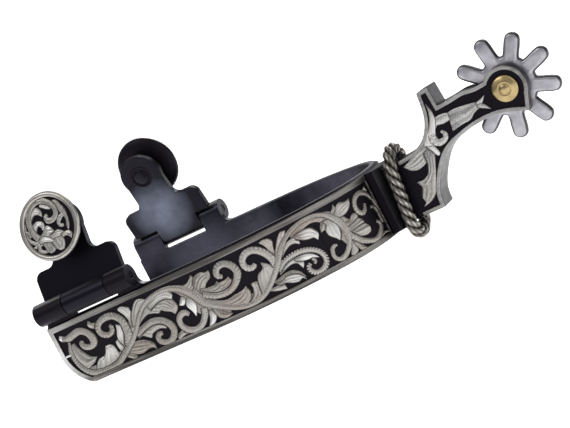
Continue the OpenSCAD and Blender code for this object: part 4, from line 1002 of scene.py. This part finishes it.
def stud_end():
    """How far out the end of the stud is that faces the boot."""
    stud = np.array([tuple(v.co) for v in NODES["right_button_stud"].data.vertices]) / MM
    return ((stud - HINGE_C)[:, 1:] @ (math.cos(LEAN), math.sin(LEAN))).min()


RIM = [[10.55, -0.02], [10.55, 0.55], [10.8, 0.95], [11.2, 1.18], [11.7, 1.22], [12.15, 1.08],
       [12.5, 0.8], [12.68, 0.4], [12.7, -0.02]]
DISH = [[4.7, -0.05], [4.5, 0.16], [4.2, 0.26], [3.9, 0.2], [3.6, 0.02], [3.3, 0.0], [2.7, 0.02],
        [2.6, -0.05]]
STUD_DOME = dome(3.0, 0.02, 0.75, 0, 10)
STUD_END = stud_end()


def dress_button(art, side, name):
    """The silver on one button and the dished end of its stud."""
    put = on_button(side)

    def outward(p):
        return put(p[:, 0], p[:, 1], p[:, 2])

    def inward(p):
        return put(p[:, 0], p[:, 1], STUD_END - DISC_FACE - p[:, 2])

    body = name + "_button"
    silver = art.mesh(body + "_engraving", put, side > 0)
    add(silver, body, "engraved_silver", body + "_scroll")
    add(lathe(body + "_ring", RIM, outward, 96), body, "rim_silver", body + "_rim")
    add(lathe(name + "_stud_dish", DISH, inward, 64), body, "disc_steel")
    add(lathe(name + "_stud_dome", STUD_DOME, inward, 48), body, "hinge_steel")


button_art = button_relief()
for side, name in SIDES:
    dress_button(button_art, side, name)


# ---- stage, light and camera ----

FLOOR_HALF_M = 3
FLOOR_GAP_M = 0.0004
# The grey of the room at each height, from 0 at the floor to 1 at the ceiling.
ROOM_TONES = ((0.30, (0.50, 0.50, 0.52)), (0.52, (0.30, 0.30, 0.32)),
              (0.66, (0.62, 0.62, 0.64)), (0.95, (1.0, 1.0, 1.0)))
ROOM_STRENGTH = 0.62
# Each light: its place, its width and height, and its power.
LIGHTS = {"key": ((-0.5, -0.9, 1.1), (0.8, 0.5), 4.5),
          "fill": ((0.9, -0.8, 0.5), (0.5, 0.8), 1.6),
          "back": ((0.2, 1.0, 0.9), (1.2, 0.4), 5)}
CAMERA_AT = (0.28392, -0.61414, 0.07453)
AZIMUTH, ELEVATION, ROLL = (math.radians(v) for v in (25.08, 5.44, 27.04))
LENS_MM = 117


def pale_floor():
    z = CAD_BOX[0][2] - FLOOR_GAP_M
    corners = [[x * FLOOR_HALF_M, y * FLOOR_HALF_M, z] for x, y in ((-1, -1), (1, -1), (1, 1), (-1, 1))]
    floor = mesh_object("floor", np.array(corners) / MM, [[0, 1, 2, 3]], smooth=False)
    pale = bpy.data.materials.new("pale_floor")
    pale.use_nodes = True
    Graph(pale.node_tree).feed(pale.node_tree.nodes["Principled BSDF"], {
        "Base Color": (0.93, 0.93, 0.93), "Roughness": 0.9, "Specular IOR Level": 0.1,
        "Emission Color": (1, 1, 1), "Emission Strength": 0.8})
    floor.data.materials.append(pale)


def studio_world():
    """White behind the object, and a soft grey studio in its reflections."""
    world = bpy.data.worlds.new("studio")
    bpy.context.scene.world = world
    world.use_nodes = True
    world.node_tree.nodes.clear()
    g = Graph(world.node_tree)
    height = g.spread(g.add("SeparateXYZ", {0: g.around}).outputs["Z"], 0, 1, -1, 1)
    room = g.add("ValToRGB", {"Fac": height})
    stops = room.color_ramp.elements
    stops.remove(stops[-1])
    for place, tone in ROOM_TONES:
        stop = stops[0] if place == ROOM_TONES[0][0] else stops.new(place)
        stop.position = place
        stop.color = (*tone, 1)
    seen = g.add("Background", {"Color": (1, 1, 1), "Strength": 1})
    lit = g.add("Background", {"Color": room.outputs["Color"], "Strength": ROOM_STRENGTH})
    camera_ray = g.add("LightPath").outputs["Is Camera Ray"]
    both = g.add("MixShader", {"Fac": camera_ray, 1: lit.outputs[0], 2: seen.outputs[0]})
    g.add("OutputWorld", {"Surface": both.outputs[0]})


def area_light(name, position, size, power):
    """A soft light that looks at the middle of the object."""
    light = bpy.data.lights.new(name, "AREA")
    light.shape = "RECTANGLE"
    light.size, light.size_y = size
    light.energy = power
    obj = bpy.data.objects.new(name, light)
    obj.location = position
    obj.rotation_euler = (-Vector(position)).to_track_quat("-Z", "Y").to_euler()
    bpy.context.scene.collection.objects.link(obj)


def photo_camera():
    data = bpy.data.cameras.new("camera")
    data.lens = LENS_MM
    data.clip_start, data.clip_end = 0.01, 20
    camera = bpy.data.objects.new("camera", data)
    bpy.context.scene.collection.objects.link(camera)
    bpy.context.scene.camera = camera
    right = Vector((math.cos(AZIMUTH), math.sin(AZIMUTH), 0))
    ahead = Vector((0, 0, 1)).cross(right) * math.cos(ELEVATION) - Vector((0, 0, math.sin(ELEVATION)))
    up = right.cross(ahead)
    image_right = right * math.cos(ROLL) - up * math.sin(ROLL)
    image_up = right * math.sin(ROLL) + up * math.cos(ROLL)
    turn = Matrix((image_right, image_up, -ahead)).transposed().to_4x4()
    camera.matrix_world = Matrix.Translation(CAMERA_AT) @ turn


pale_floor()
studio_world()
for name, settings in LIGHTS.items():
    area_light(name, *settings)
photo_camera()
bpy.context.scene.view_settings.view_transform = "Standard"
